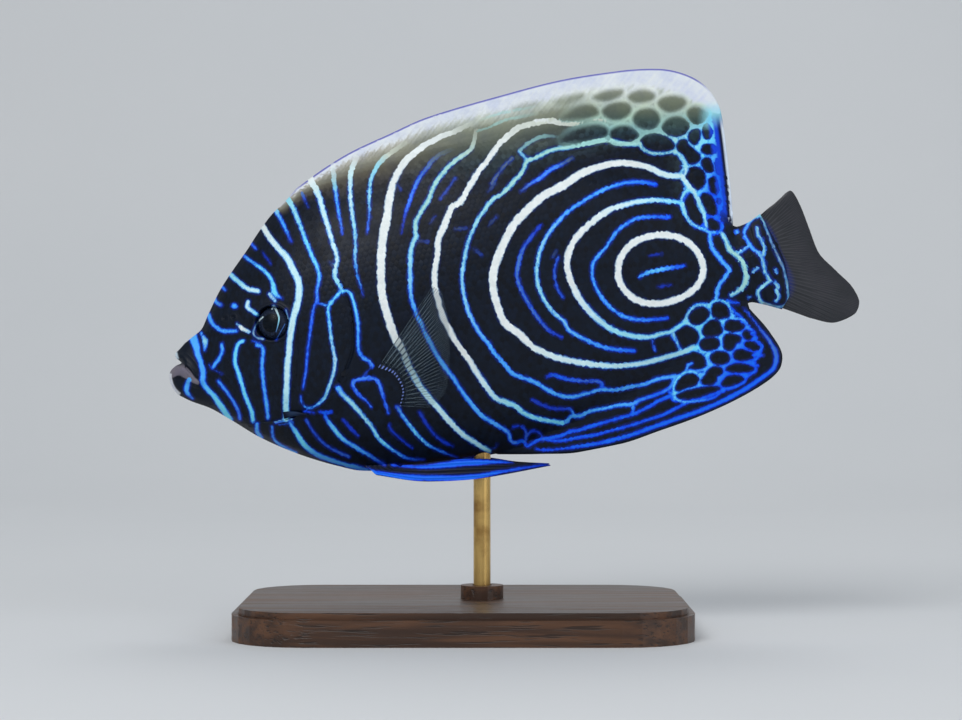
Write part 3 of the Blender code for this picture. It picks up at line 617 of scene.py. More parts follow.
NOSTRIL_DEPTH = 0.3
NOSTRIL_RIM = 0.08
COVER_STEP = 0.5
COVER_GAP = 0.22
COVER_REACH = 12.0
GROOVE_DEPTH = 0.24
GROOVE_HALF = 0.32
SOCKET_DEPTH = 2.2


def bump_along(points, line, half, height):
    """A rounded ridge along a line: its height is lost within half its width."""
    gap, share = distance_to(points, drawn_curve(line), reach=half)
    return height * np.clip(1.0 - (gap / half) ** 2, 0.0, 1.0), share


def side_of(points, line):
    """Signed distance to a line: positive on the right hand as the line runs."""
    line = drawn_curve(line)
    gap, share = distance_to(points, line, reach=COVER_REACH)
    i = np.clip((share * (len(line) - 1)).astype(int), 0, len(line) - 2)
    along = line[i + 1] - line[i]
    to = points - line[i]
    return gap * np.sign(along[:, 1] * to[:, 0] - along[:, 0] * to[:, 1]), share


def head_forms(points, height):
    """The height with lips, nostrils, orbit, cheek groove and gill cover worked in."""
    ridge, _ = bump_along(points, UPPER_LIP, 1.25, 0.55)
    height = height + ridge
    ridge, _ = bump_along(points, LOWER_LIP, 1.45, 0.75)
    height = height + ridge
    gap, share = distance_to(points, drawn_curve(MOUTH_SLIT, 0.2), reach=1.2)
    shallower = 1.0 - 0.75 * soft_step(share, 0.5, 1.0)
    height = height - SLIT_DEPTH * np.exp(-(gap / SLIT_HALF) ** 2) * shallower
    for u, v, radius in NOSTRILS:
        away = np.hypot(points[:, 0] - u, points[:, 1] - v) / radius
        height = height - NOSTRIL_DEPTH * np.exp(-away ** 4)
        height = height + NOSTRIL_RIM * np.exp(-((away - 1.55) / 0.42) ** 2)
    gap, share = side_of(points, GILL_EDGE)
    ends = soft_step(share, 0.1, 0.34) * fall(share, 0.82, 1.0)
    cover = np.where(gap < 0.0, np.exp(gap / 3.0), fall(gap, 0.0, 0.28))
    near = np.abs(gap) < COVER_REACH - 0.1
    height = height + np.where(near, COVER_STEP * cover * ends, 0.0)
    height = height - np.where(near, COVER_GAP * np.exp(-((gap - 0.42) / 0.3) ** 2) * ends, 0.0)
    gap, share = distance_to(points, drawn_curve(CHEEK_GROOVE), reach=2.0)
    ends = soft_step(share, 0.0, 0.2)
    height = height - GROOVE_DEPTH * np.exp(-(gap / GROOVE_HALF) ** 2) * ends
    away = np.hypot(points[:, 0] - EYE_U, points[:, 1] - EYE_V)
    socket = SOCKET_DEPTH * fall(away, EYE_RADIUS - 0.25, EYE_RADIUS + 0.12)
    rim = ORBIT_RIM * np.exp(-((away - EYE_RADIUS - 0.38) / 0.36) ** 2)
    return height - socket + rim


# %% [markdown]
# Seen from the front the body is an egg, fuller above than below. A power of the distance
# from the middle line gives such a section with two numbers for each half, and a narrow
# keel stays at the rim, so the fins have something to stand on.

# %% The height of the skin
BACK_POWERS = (2.1, 0.80)
BELLY_POWERS = (2.4, 0.65)
KEEL_HALF = 0.8
KEEL_SHARE = 0.35
FIN_OVERLAP = 6.0
FINS_END = 112.0
HEAD_END = 40.0


def body_height(u, v):
    """Half the thickness of the body alone."""
    top = back_v(u)
    bottom = belly_v(u)
    t = (2.0 * v - top - bottom) / (top - bottom)
    power = np.where(t > 0.0, BACK_POWERS[0], BELLY_POWERS[0])
    bow = np.where(t > 0.0, BACK_POWERS[1], BELLY_POWERS[1])
    bulge = np.clip(1.0 - np.abs(t) ** power, 0.0, 1.0) ** bow
    keel = np.minimum(KEEL_HALF, KEEL_SHARE * widest(u))
    return np.sqrt(keel ** 2 + (widest(u) ** 2 - keel ** 2) * bulge ** 2), keel


def fin_zones(u, v):
    """Where the dorsal and the anal fin stand, with their scaly bases on the body."""
    dorsal = (v > back_v(u) - FIN_OVERLAP) & (u > 29.0) & (u < FINS_END)
    anal = (v < belly_v(u) + FIN_OVERLAP) & (u > 57.0) & (u < FINS_END)
    return dorsal, anal


def skin_height(points):
    """Half the thickness of the dressed fish at points of its side view."""
    u = points[:, 0]
    v = points[:, 1]
    body, keel = body_height(u, v)
    fins = np.where(
        v > 0.0, fin_height(points, DORSAL_BASE, DORSAL_EDGE, DORSAL_RAYS),
        fin_height(points, ANAL_BASE, ANAL_EDGE[:-1][::-1], ANAL_RAYS),
    )
    in_fin = np.logical_or(*fin_zones(u, v))
    low = np.where(in_fin, fins, keel)
    outside = (v > back_v(u)) | (v < belly_v(u))
    flank = np.where(outside, 0.0, np.sqrt(np.maximum(body ** 2 - keel ** 2, 0.0)))
    height = np.where(in_fin, soft_max(flank, low, 1.0), body)
    height = np.where(u < HEAD_END, head_forms(points, height), height)
    rim, _ = distance_to(points, outline, close=True)
    round_over = np.clip(height, 0.2, 1.3)
    height = height * np.sqrt(1.0 - (1.0 - np.clip(rim / round_over, 0.0, 1.0)) ** 2)
    return height, rim


sample = skin_height(np.array([(42.0, 3.0), (70.0, 36.0), (20.0, -5.0)]))[0]
print("half thickness at the flank, the dorsal fin and the cheek:", sample.round(2))

# %% [markdown]
# ## The skin's mesh
#
# Even triangles all over would need millions to catch the lips and the fine net of lines
# on the fins. So the points are strewn unevenly: a honeycomb of 0.33 mm everywhere, a
# finer one where small forms or fine lines are, and rows that follow the outline closer
# and closer to it, where the rim rounds over. One triangulation then joins them all.

# %% Strew the points
EVEN_STEP = 0.33
NET_STEP = 0.23
FINE_STEP = 0.17
RIM_ROWS = (0.02, 0.07, 0.15, 0.27, 0.45, 0.7, 1.0)
RIM_MARGIN = 0.14


def honeycomb(low, high, step):
    """Points of an even triangle pattern over a box."""
    columns = np.arange(low[0], high[0], step)
    rows = np.arange(low[1], high[1], step * math.sqrt(0.75))
    u, v = np.meshgrid(columns, rows)
    u[1::2] += 0.5 * step
    return np.stack([u.ravel(), v.ravel()], 1)


def in_net(points):
    u, v = points.T
    dorsal = (u > 80.0) & (v > 18.0) & (v > back_v(u) - 2.0) & (u + 0.35 * v > 94.0)
    anal = (u > 84.0) & (v < -8.0) & (v < 0.25 * (110.0 - u) - 9.0)
    return dorsal | anal | (u > 106.0)


def in_fine(points):
    u, v = points.T
    mouth = (u < 7.5) & (v < 6.0) & (v > -4.0)
    away = np.hypot(u - EYE_U, v - EYE_V)
    eye = (away > EYE_RADIUS - 0.7) & (away < EYE_RADIUS + 1.1)
    holes = np.zeros(len(points), bool)
    for nu, nv, radius in NOSTRILS:
        holes |= np.hypot(u - nu, v - nv) < 2.6 * radius
    gap, _ = distance_to(points, drawn_curve(GILL_EDGE), reach=1.2)
    groove, _ = distance_to(points, drawn_curve(CHEEK_GROOVE), reach=1.2)
    return mouth | eye | holes | (gap < 0.7) | (groove < 0.5)


low = outline.min(0)
high = outline.max(0)
even = honeycomb(low, high, EVEN_STEP)
even = even[~in_net(even) & ~in_fine(even)]
net = honeycomb(low, high, NET_STEP)
net = net[in_net(net) & ~in_fine(net)]
fine = honeycomb((low[0], -13.0), (38.0, 13.0), FINE_STEP)
fine = fine[in_fine(fine)]
strewn = np.concatenate([even, net, fine])
strewn = strewn[inside(strewn, outline)]
rim, _ = distance_to(strewn, outline, close=True)
strewn = strewn[rim > RIM_ROWS[-1] + RIM_MARGIN]

ahead = np.roll(outline, -1, axis=0) - np.roll(outline, 1, axis=0)
inward = np.stack([ahead[:, 1], -ahead[:, 0]], 1) / np.linalg.norm(ahead, axis=1)[:, None]
rows = []
for depth in RIM_ROWS:
    row = outline + depth * inward
    gap, _ = distance_to(row, outline, close=True)
    rows.append(row[(gap > 0.9 * depth) & inside(row, outline)])
skin_uv = np.concatenate([outline] + rows + [strewn])
print(len(skin_uv), "points,", len(strewn), "of them away from the rim")

# %% [markdown]
# A grid bent to the outline would crowd its faces at the snout and stretch them at the
# fins. Joining strewn points into triangles that are as even as can be works for any
# outline. The same flat net is then raised to both sides, so the rims meet exactly.

# %% Join the points and raise them
border = [(i, (i + 1) % len(outline)) for i in range(len(outline))]
flat, _, faces, _, _, _ = delaunay_2d_cdt([Vector(p) for p in skin_uv.tolist()], border, [], 1, 1e-5)
skin_uv = np.array([tuple(p) for p in flat])
skin_faces = np.array(faces)
skin_h, skin_rim = skin_height(skin_uv)
skin_h = np.where(skin_rim < 1e-4, 0.0, skin_h)
print(len(skin_faces), "triangles on each side of the fish")


SIDES = ((-1, "left"), (1, "right"))
skins = {}
for side, word in SIDES:
    corners = room(np.column_stack([skin_uv, side * skin_h]))
    faces = skin_faces if side < 0 else skin_faces[:, ::-1]
    piece = add_piece("skin_" + word, mesh_of("skin_" + word, corners, faces))
    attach(piece, "root")
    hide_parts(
        "head", "gill_cover_" + word, "upper_jaw", "lower_jaw", "trunk", "tail_stem", "dorsal_fin",
        "anal_fin",
    )
    skins[side] = piece

# %% [markdown]
# ## The pattern, line by line
#
# The young emperor is drawn all over with lines: white, pale and blue arcs that close into
# rings near the tail. Each one is a stripe with a name, a colour, a width and a few points.
# The points are given where the camera sees them in the picture, in pixels, because that
# is where such a line can be read best; `seen` turns every point of the skin into such a
# place, so each stripe lands on the curved flank where it belongs. A width is in pixels too,
# and a list of widths swells or thins the stripe from its start to its end. The points are
# written as x,y pairs, one after the other.

# %% Colours and stripes
WHITE = linear(230, 237, 237)
ICE = linear(200, 240, 248)
PALE = linear(152, 222, 240)
MINT = linear(164, 218, 214)
AQUA = linear(116, 222, 255)
AZURE = linear(80, 176, 255)
BLUE = linear(72, 142, 250)
SEA = linear(16, 108, 246)
DEEP = linear(36, 74, 178)
DIM = linear(70, 120, 200)
TEAL = linear(138, 206, 224)
SLATE = linear(112, 134, 142)
SILVER = linear(186, 208, 214)
CREAM = linear(204, 212, 198)
LILAC = linear(132, 156, 240)
stripes = {}


def stripe(name, colours, widths, *points, strength=1.0, ring=False):
    """Names a stripe; colours, widths and strengths run from its first point to its last."""
    runs = [run if isinstance(run, list) else [run] for run in (colours, widths, strength)]
    stripes[name] = (*runs, points, ring)


# %% [markdown]
# The face has short bars round the mouth and the eye, and the long bars of nape and cheek.
# No rule of rings would give these, so every bar and dash is a stripe of its own.

# %% Stripes of the face
stripe("brow", [PALE, PALE, ICE, ICE], 5.5, 230,274, 240,283, 248,289, 258,291)
stripe("brow_dash", AZURE, 3.5, 221,286, 225,290)
stripe("snout_upper", [AZURE, AZURE, DIM], 4.2, 214,296, 216,302, 221,305)
stripe("snout_dot", AZURE, 6.0, 233.5,306, 235,306)
stripe("snout_lower", AZURE, 4.6, 208,314, 212,323, 217,328, 224,331, 236,331)
stripe("before_eye", [ICE, WHITE, ICE], [3.0, 4.8, 3.2], 237,324, 242,328.5, 249,332)
stripe("eye_upper", [ICE, ICE, AQUA], 4.5, 248,302, 247,307, 252,311, 258,315)
stripe("under_eye_dash", DIM, 1.6, 252,341, 260,342.5)
stripe("crown", [AZURE, AQUA, AQUA, AQUA, BLUE], [3.5, 4.5, 5.0, 6.5, 2.5], 244,256, 252,262, 262,269,
    269.5,276.5, 273,284, 274,291, 278,296, 282,298.5)
stripe("crown_dash", ICE, [3.4, 4.4, 3.0], 269,294, 272,297, 275,301)
stripe("eye_front_rim", SILVER, 2.3, 263,317, 258,322, 254,330, 254,335, 258,338, 263,339)
stripe("eye_arc", [SILVER, SILVER, PALE, DIM], [2.4, 3.0, 2.2, 1.6], 272,309, 274,306, 277,312, 279,318,
    278,325, 276,332)
stripe("eye_rear_upper", SILVER, 1.7, 286,310, 288,319)
stripe("eye_rear_lower", DIM, 1.7, 285,324, 280,333, 276,340)
stripe("forehead_dash", BLUE, 3.0, 251,243, 256,249)
stripe("forehead_thin", DEEP, 2.0, 262,252, 271,264, strength=0.7)
stripe("nape_bar", [WHITE, ICE, ICE, ICE, ICE, ICE, PALE], [6.0, 7.5, 7.5, 6.5, 7.0], 261,223, 268,235,
    278,248, 287,258, 293,270, 298,280, 299,290, 298,300, 295,312, 292,325, 290,340, 288.5,355, 287,370,
    286.5,385, 286,400, 286,419)
stripe("cheek_bar", AZURE, 4.5, 257,345, 262,347, 263,352, 262,365, 263,380, 265,395, 267,408, 268,418)
stripe("cheek_hook", AQUA, 5.0, 243,341, 239,343, 236,350, 235,362, 238,372, 242,385, 246,398, 251,410,
    253,421)
stripe("throat_hook", AZURE, 5.0, 257,424, 257,431, 261,438)
stripe("mouth_side", AZURE, 4.2, 221.5,344, 222,352, 218,360, 213,367)
stripe("jaw_side", [AZURE, BLUE], 3.6, 218,381, 226,391, 233,401, 238,411, 240,419)
stripe("jaw_crease", BLUE, 1.6, 209,364, 211,368, 216,371, 222,374, strength=0.8)
stripe("mouth_bar", [AZURE, AZURE, AZURE, AQUA, AQUA], [9.5, 7.0, 6.0, 6.5, 6.0, 7.0, 7.0], 193,337,
    196,346, 198,355, 201,363, 203,372, 203,382, 208,390, 214,396, 220,405, 225,412, 230,420)
stripe("mouth_bar_side", [AZURE, PALE, AZURE], [3.0, 6.0, 3.0], 201,333, 205,341, 204.5,350)
stripe("chin", AZURE, [5.0, 6.5, 5.5, 2.0], 189,380, 187,386, 187,392, 193,399)
stripe("spine_tip", [DIM, PALE, DIM], 2.2, 276,423, 284,421, 291,421)
stripe("throat", AZURE, 3.5, 272,427, 273,437, 279,444, 296,453)
print(len(stripes), "stripes on the face")

# %% [markdown]
# On the shoulder, lines come down from the nape, and one pair forks round the rear edge of
# the gill cover. They change from white at the back to deep blue below, so each stripe
# carries a list of colours.

# %% Stripes of the shoulder
stripe("nape_first", [PALE, AZURE, AZURE, DEEP], [5.0, 3.0], 274,207, 281,220, 286,230, 291,242)
stripe("nape_second", [PALE, PALE, AQUA, AQUA, AZURE, BLUE], [6.0, 5.0, 4.5, 4.0], 285,195, 292,206,
    298,220, 304,236, 311,254, 318,270, 319,280, 317,290, 317,303)
stripe("nape_second_tail", BLUE, [3.5, 2.5], 317,300, 313,310, 311,325, 309,340, 307,355, 306,370,
    304,382, 303,389)
stripe("nape_link", [BLUE, AQUA], 3.0, 317,303, 328,306)
stripe("nape_dash", DIM, [3.0, 1.5], 302,193, 308,208, strength=0.8)
stripe("nape_third", [WHITE, ICE, ICE, ICE, ICE, PALE, AQUA], [7.0, 6.0, 5.0, 5.0], 310,178, 315,188,
    319,197, 322,208, 328,228, 333,245, 337,258, 335,268, 335,277, 340,287, 343,292)
stripe("gill_front", [AQUA, AQUA, ICE, PALE, AQUA, BLUE], [4.5, 4.0, 4.0, 3.0, 2.5], 341,291, 334,299,
    328,307, 329,320, 331,338, 333,350, 335,362, 333,375, 329,386, 325,397, 318,404, 310,408, 304,406,
    301,400, 301,396)
stripe("gill_under", [SEA, DEEP], 2.5, 304,411, 314,413)
stripe("gill_rear", [AQUA, AQUA, AZURE, AZURE, BLUE], 4.0, 341,291, 349,292, 353,300, 356,312, 358,325,
    358,340, 359,352, 363,358, 369,361, 372,366)
stripe("nape_fourth", [WHITE, PALE, AZURE, AZURE, BLUE], [5.5, 4.5, 3.5, 2.0], 333,165, 334,182, 336,195,
    338,210, 341,225, 342,234, strength=[0.5, 1.0, 1.0, 0.8])
stripe("nape_fifth", [WHITE, ICE, ICE, PALE, PALE, AQUA, DEEP], [6.0, 5.0, 4.5, 3.0, 2.0], 357,158,
    352,168, 350,180, 350,192, 351,205, 353,220, 355,235, 355,250, 355,262, 357,275, 360,285, 363,296,
    strength=[0.5] + [1.0] * 7 + [0.7])
stripe("nape_sixth", [CREAM, CREAM, PALE, PALE, PALE, BLUE], [5.0, 5.0, 4.5, 4.0, 2.0], 405,143, 395,150,
    385,157, 378,165, 372,175, 370,185, 369,200, 369,215, 367,233,
    strength=[0.3, 0.9, 1.0, 1.0, 1.0, 0.9])

# %% [markdown]
# The flank has broad white arcs with thin blue ones between them, which bend back over the
# tail end of the body and close there, ring within ring. Circles from a formula would look
# printed, as no ring of the real fish is quite round, so these follow points as well.

# %% Arcs and rings of the flank
stripe("arc_one", [CREAM, WHITE, WHITE, WHITE, WHITE, WHITE, ICE, ICE, PALE],
    [5, 6, 8, 9, 9, 8.5, 7, 6.5, 5.5], 475,122, 462,128, 450,133, 440,137, 425,145, 412,155, 402,165,
    395,178, 391,190, 389,200, 387,215, 384,230, 382,245, 381,260, 381,285, 383,300, 387,315, 391,328,
    396,340, 403,352, 408,365, 417,382, 428,397, 438,408, 448,420, 460,432, 472,441, 482,447, 489,451,
    strength=[0.15] + [1.0] * 14)
stripe("thread_one", [SLATE, SLATE, DIM, BLUE, BLUE, DEEP], [5.0, 4.5, 4.0, 2.0], 455,148, 445,152,
    435,158, 425,170, 418,180, 412,193, 408,205, 405,214, 401,234,
    strength=[0.0, 0.5, 0.9, 1.0, 1.0, 0.5])
stripe("arc_two", [CREAM, MINT, MINT, PALE, AZURE, AZURE, AZURE, BLUE], [4, 5, 5, 5.5, 5, 5, 5, 4],
    476,130, 474,140, 470,150, 460,157, 450,165, 441,175, 433,187, 428,200, 422,210, 416,220, 415,230,
    416,236, 412,246, 410,258, 410,270, 410,285, 411,297, 414,308, 419,320, 427,337, 435,352, 443,365,
    452,377, 461,390, 470,402, 480,414, 490,421, 500,427, 508,433, 511,441, 517,443,
    strength=[0.3] + [1.0] * 14)
stripe("arc_three", [CREAM, WHITE, WHITE, WHITE, WHITE, WHITE, PALE, AQUA],
    [6, 6, 6.5, 7, 6.5, 6.5, 6.5, 6, 5.5], 552,120.5, 535,123, 520,127, 510,134, 500,143, 493,152,
    486,162, 478,172, 472,182, 466,192, 460,202, 452,207, 448,215, 443,228, 438,240, 437,255, 435,268,
    434,278, 435,288, 438,300, 442,315, 447,326, 453,337, 460,348, 470,362, 478,375, 487,388, 495,398,
    505,402, 515,406, 524,413, 535,418, 550,421, 562,423)
stripe("arc_three_link", [CREAM, CREAM, WHITE], [4.5, 5.5, 6.5], 607,121, 598,119.5, 590,121.5, 576,123.5,
    562,123, 550,121, 536,122, strength=[0.75, 0.95])
stripe("veil_upper", MINT, 3.0, 478,121, 492,116, 506,112, 522,109, 540,106,
    strength=[0.0, 0.5, 0.4, 0.0])
stripe("veil_lower", MINT, 3.0, 477,131, 490,127, 505,120, 520,117, 540,113,
    strength=[0.3, 0.5, 0.4, 0.0])
stripe("arc_three_rear", [AZURE, AZURE, AZURE, SEA, AZURE], 4.5, 566,422, 572,416, 580,416, 590,411,
    605,408, 620,405, 632,404, 640,400, 652,396, 665,391, 672,385, 675,377)
stripe("thread_two", DIM, 3.0, 455,178, 449,187, 440,199, strength=0.5)
for ghost, points in enumerate([
    (430,223, 435,216), (455,229, 467,228), (489,225, 496,217), (396,182, 401,190),
    (419,241, 428,242), (488,192, 495,183), (474,249, 481,255), (330,262, 334,268),
    (556,251, 552,258), (498,252, 494,262),
]):
    stripe(f"ghost_{ghost}", [SLATE, DIM], 3.2, *points, strength=[0.2, 0.3])
stripe("arc_four", [MINT, MINT, MINT, PALE, AZURE, AZURE, AZURE, AZURE],
    [5, 5, 5, 4.5, 4.5, 5, 5, 4.5, 4.5], 640,144, 625,144, 608,140, 590,143, 570,147, 555,149, 545,153,
    535,158, 527,161, 522,172, 515,180, 503,193, 492,200, 479,218, 470,236, 464,259, 462,282, 466,305,
    472,320, 481,335, 488,343, 494,353, 503,363, 512,373, 520,377, 532,381, 543,387, 555,394, 570,397,
    585,394, 600,390, 615,390, 630,387, 645,384, 658,379, 675,376)
stripe("arc_four_spur", PALE, [3.5, 4.0], 519,151, 527,160, strength=0.8)
stripe("thread_three", SLATE, 3.5, 512,158, 505,165, 497,175, 491,184, strength=0.6)
stripe("thread_four", MINT, [3.5, 4.5, 3.0], 519,151, 527,144, 538,138, 548,136, 558,137,
    strength=[0.6, 0.6, 0.5, 0.1])
stripe("thread_five", [SLATE, BLUE, BLUE, BLUE, SLATE], [4.0, 5.0, 3.0], 572,158, 560,165, 550,170,
    540,178, 530,184, 521,191, strength=[0.3, 1.0, 1.0, 0.6])
stripe("ring_outer", [ICE, WHITE, WHITE, WHITE, WHITE, WHITE, ICE, PALE],
    [6.5, 6.5, 7, 8, 9, 9, 9, 8.5, 8, 7, 6.5, 6, 6], 683,176, 670,176, 660,173, 650,168, 640,165, 625,163,
    610,164, 595,168, 580,174, 570,181, 560,187, 548,193, 538,200, 527,210, 515,223, 507,236, 497,259,
    493,273, 493,287, 496,302, 504,322, 519,334, 530,345, 540,351, 561,359, 590,364, 612,366, 639,364,
    663,358, 683,352, 694,347)
stripe("thread_six", [DEEP, DIM, DIM, DIM, DEEP], [3, 4.5, 4.5, 3], 541,225, 530,238, 522,251, 518,265,
    517,278, 521,290, 528,303, 537,317, 548,330, 561,337)
stripe("ring_blue", [SEA, AZURE, AZURE, PALE, PALE, AZURE, SEA], 4.6, 655,184, 640,182, 625,183, 610,187,
    597,193, 585,200, 571,209, 560,219, 548,234, 540,250, 537,265, 537,280, 542,296, 552,311, 564,322,
    570,331, 588,341, 606,348, 620,350, 634,351)
stripe("ring_middle", [AQUA, ICE, WHITE, WHITE, PALE, PALE, AQUA], [5, 5.5, 7, 7, 7, 6, 5.5, 5], 682,203,
    668,201, 653,200, 635,202, 620,206, 604,213, 583,230, 571,246, 567,263, 571,282, 581,301, 596,318,
    613,330, 632,336, 650,337, 660,334, 670,332, 678,327, 687,321)
stripe("thread_seven", DIM, 3.0, 558,257, 554.5,268, 555,280, 558,290, 563,298, strength=0.9)
stripe("ring_inner_blue", [SEA, AZURE, AZURE, AZURE, SEA], 4.2, 669,217, 650,217, 635,219, 617,231,
    606,247, 594,261, 592,274, 596,288, 606,303, 619,314, 633,319, 650,320, 667,318)
stripe("bull_ring", WHITE, 7.5, 618,273, 620,259, 629,246, 643,238, 660,235, 677,237, 691,245, 700,257,
    703,270, 699,283, 688,294, 672,301, 655,304, 638,301, 627,293, 620,283, ring=True)
stripe("bull_dash", [AZURE, AQUA, AZURE, SEA], [3.5, 4.5, 3.5], 639,277, 650,272, 667,268.5, 684,266)
stripe("bull_upper", DEEP, 2.5, 649,256, 661,254, strength=0.6)
stripe("bull_lower", DEEP, 2.5, 658,287, 671,285, strength=0.6)
stripe("thread_eight", [DEEP, DEEP, DEEP, AZURE], 3.5, 532,400, 540,404, 550,408, 560,409, 570,409,
    573,414)
stripe("thread_nine", [DEEP, SEA, DIM, SEA], 4.0, 547,377, 553,375, 566,379, 582,381, 600,382, 602,387)
print(len(stripes), "stripes so far")

# %% [markdown]
# On the belly, lines sweep back along its edge, and three long blue bands run with the free
# edge of the anal fin. Most fade at their front end, so their widths start small.

# %% Stripes of belly and anal fin
stripe("belly_first", [AZURE, PALE, PALE, AQUA, AZURE, DEEP], [6, 5, 4, 2], 338,388, 342,394, 350,402,
    360,413, 370,425, 380,440, 390,448, 400,455, 410,459, 425,460)
stripe("breast_loop", BLUE, [2.5, 4, 4, 4, 3], 371,407, 365,400, 358,394, 353,386, 354,381, 360,379,
    370,378, 377,381, 381,390, 384,400, 388,413)
stripe("breast_second", [DIM, AZURE, AQUA, AQUA, AZURE, DEEP], [4.5, 4, 2], 397,407, 402,415, 410,426,
    418,436, 428,445, 440,451, 458,458)
stripe("breast_third", DEEP, 3.0, 419,412, 425,422, 432,432, 440,440, 452,446)
stripe("breast_fourth", DEEP, 2.5, 389,425, 391,430, 397,436, 405,443, 412,448)
stripe("belly_second", DEEP, 3.0, 343,420, 350,428, 358,436)
stripe("belly_third", [SEA, AZURE, AQUA, AZURE, AZURE, DEEP], [4, 5, 5, 3], 325,416, 328,421, 334,429,
    343,439, 355,447, 368,455, 385,465)
stripe("belly_third_head", SEA, [4, 4.5, 3.5], 320,412, 326,413, 331,412)
stripe("belly_fourth", DIM, 3.0, 306,420, 312,430, 320,440, 330,448, 340,453, 349,457)
stripe("belly_fifth", [AZURE, AQUA, AQUA, AZURE, AZURE, AZURE, SEA], [4, 6.5, 6, 5, 5], 290,423, 296,432,
    302,442, 310,450, 320,456, 335,461.5, 350,466, 367,471)
stripe("belly_edge", SEA, [2.5, 3, 6, 7, 6.5, 4, 2], 392,465, 420,467, 445,465, 465,463, 490,462, 513,462)
stripe("belly_edge_upper", SEA, [2, 3, 1.5], 452,461, 466,459, 479,457)
stripe("belly_wisp", SLATE, 1.6, 486,450, 492,449, 496,447, 497,444, strength=0.7)
stripe("pelvic_edge", [AZURE, SEA, SEA, SEA, SEA, DEEP], [5, 6, 7, 6.5, 6, 5, 3, 2], 352,466, 366,470,
    380,474, 400,477, 430,478, 460,478, 480,476, 500,472, 530,467, 552,464)
stripe("pectoral_fold", DIM, 1.6, 371,368, 362,377, strength=0.6)
stripe("spine_upper", ICE, 1.6, 275,422, 283,420, 292,419, strength=0.8)
stripe("spine_lower", AZURE, 1.6, 279,424.5, 287,424, 293,422, strength=0.7)

stripe("anal_root_first", [DEEP, DIM], 3.0, 513,427, 520,426, 525,430, 526,437, 525,443)
stripe("anal_root_second", [DIM, DEEP, DIM], 3.0, 526,437, 530,432, 536,431, 541,435, 543,440)
stripe("anal_root_third", SEA, 3.0, 516,443, 524,441)
stripe("anal_band_first", SEA, 4.0, 673,395, 660,400, 650,406, 640,411, 633,414, 620,418, 605,422,
    595,425, 580,430, 570,432, 560,436, 550,438, 540,439, 533,443, 527,446, 523,441, 517,443)
stripe("anal_link", [AZURE, SEA], 3.5, 633,404, 633,414)
stripe("anal_band_second", SEA, 3.5, 722,391, 700,399, 690,401, 680,406, 665,414, 650,419, 635,424,
    620,428, 605,432, 595,435, 580,437, 565,440, 555,441, 545,439)
stripe("anal_link_second", SEA, 3.0, 672,390, 673,400, 685,401)
stripe("anal_edge", [DIM, DIM, SEA, SEA, SEA, SEA], [1.6, 2.2, 4, 5.5, 5, 5, 5, 5, 5, 4.5, 4, 3, 2],
    743,308, 749,315, 755,322, 761,330, 768,339, 773,347, 776,354, 776,362, 772,370, 763,377, 750,386,
    736,394, 718,403, 699,411, 679,418, 659,425, 639,432, 620,438, 600,443, 580,446, 560,449, 545,450,
    536,449)

# %% [markdown]
# The stem of the tail has wavy bars, small loops and dots, and a pale border where the tail
# fin starts. The border is a row of tiny pale beads, made by widths and strengths that go up
# and down in turn.

# %% Stripes of the tail stem
stripe("stem_first", AZURE, 5.0, 710,233, 710,240, 712,248, 717,255, 723,263, 728,268, 729,271, 726,276,
    722,281, 718,287, 716,298)
stripe("stem_second", [PALE, MINT, MINT, MINT, PALE], [5, 6, 6, 5], 722,234, 726,242, 730,250, 737,256,
    742,262, 745,270, 746,278, 744,285, 738,291, 731,295)
stripe("stem_branch", [PALE, AZURE], 4.0, 738,253, 746,248, 750,244)
stripe("stem_third", [TEAL, AZURE, AZURE, TEAL, TEAL], 4.5, 760,215, 752,219, 747,226, 744,234, 748,242,
    753,249, 759,254, 763,262, 764,270, 767,276, 770,281)
stripe("stem_border", [PALE, SILVER, PALE, SILVER], [2.6, 3.4] * 14, 760,215, 763,221, 766,228, 769,236,
    772,244, 775,251, 779,259, 783,267, 785,275, 787,283, 788,292, 788,300, 785,305, 779,307, 771,305,
    764,303, 759,300, strength=[0.95, 0.45] * 14)
stripe("stem_loop", TEAL, 4.0, 757,228, 758,235, 762,241, 764,250, 762,256)
stripe("stem_cell", [TEAL, PALE, TEAL], 4.5, 770,281, 764,285, 758,291, 759,298, 762,303)
stripe("stem_dot_first", TEAL, 4.0, 775,283, 778,288)
stripe("stem_dot_second", TEAL, 4.0, 776,290, 778,296, 776,301)
stripe("stem_dash", TEAL, 3.0, 752,272, 758,268)
stripe("stem_dot_third", TEAL, 3.0, 775,269, 776,273)
stripe("stem_spot", AZURE, 4.5, 736.5,232, 737.5,232)
stripe("stem_speck", TEAL, 2.0, 747,298, 751,297)
print(len(stripes), "stripes in all")

# %% [markdown]
# On the rear of both upright fins the lines join into a net. Its dark cells are placed, each
# by a loop of points, and the web is what is left between two of them or just outside one.
# High on the dorsal fin the web melts into the white band and the cells have soft edges.

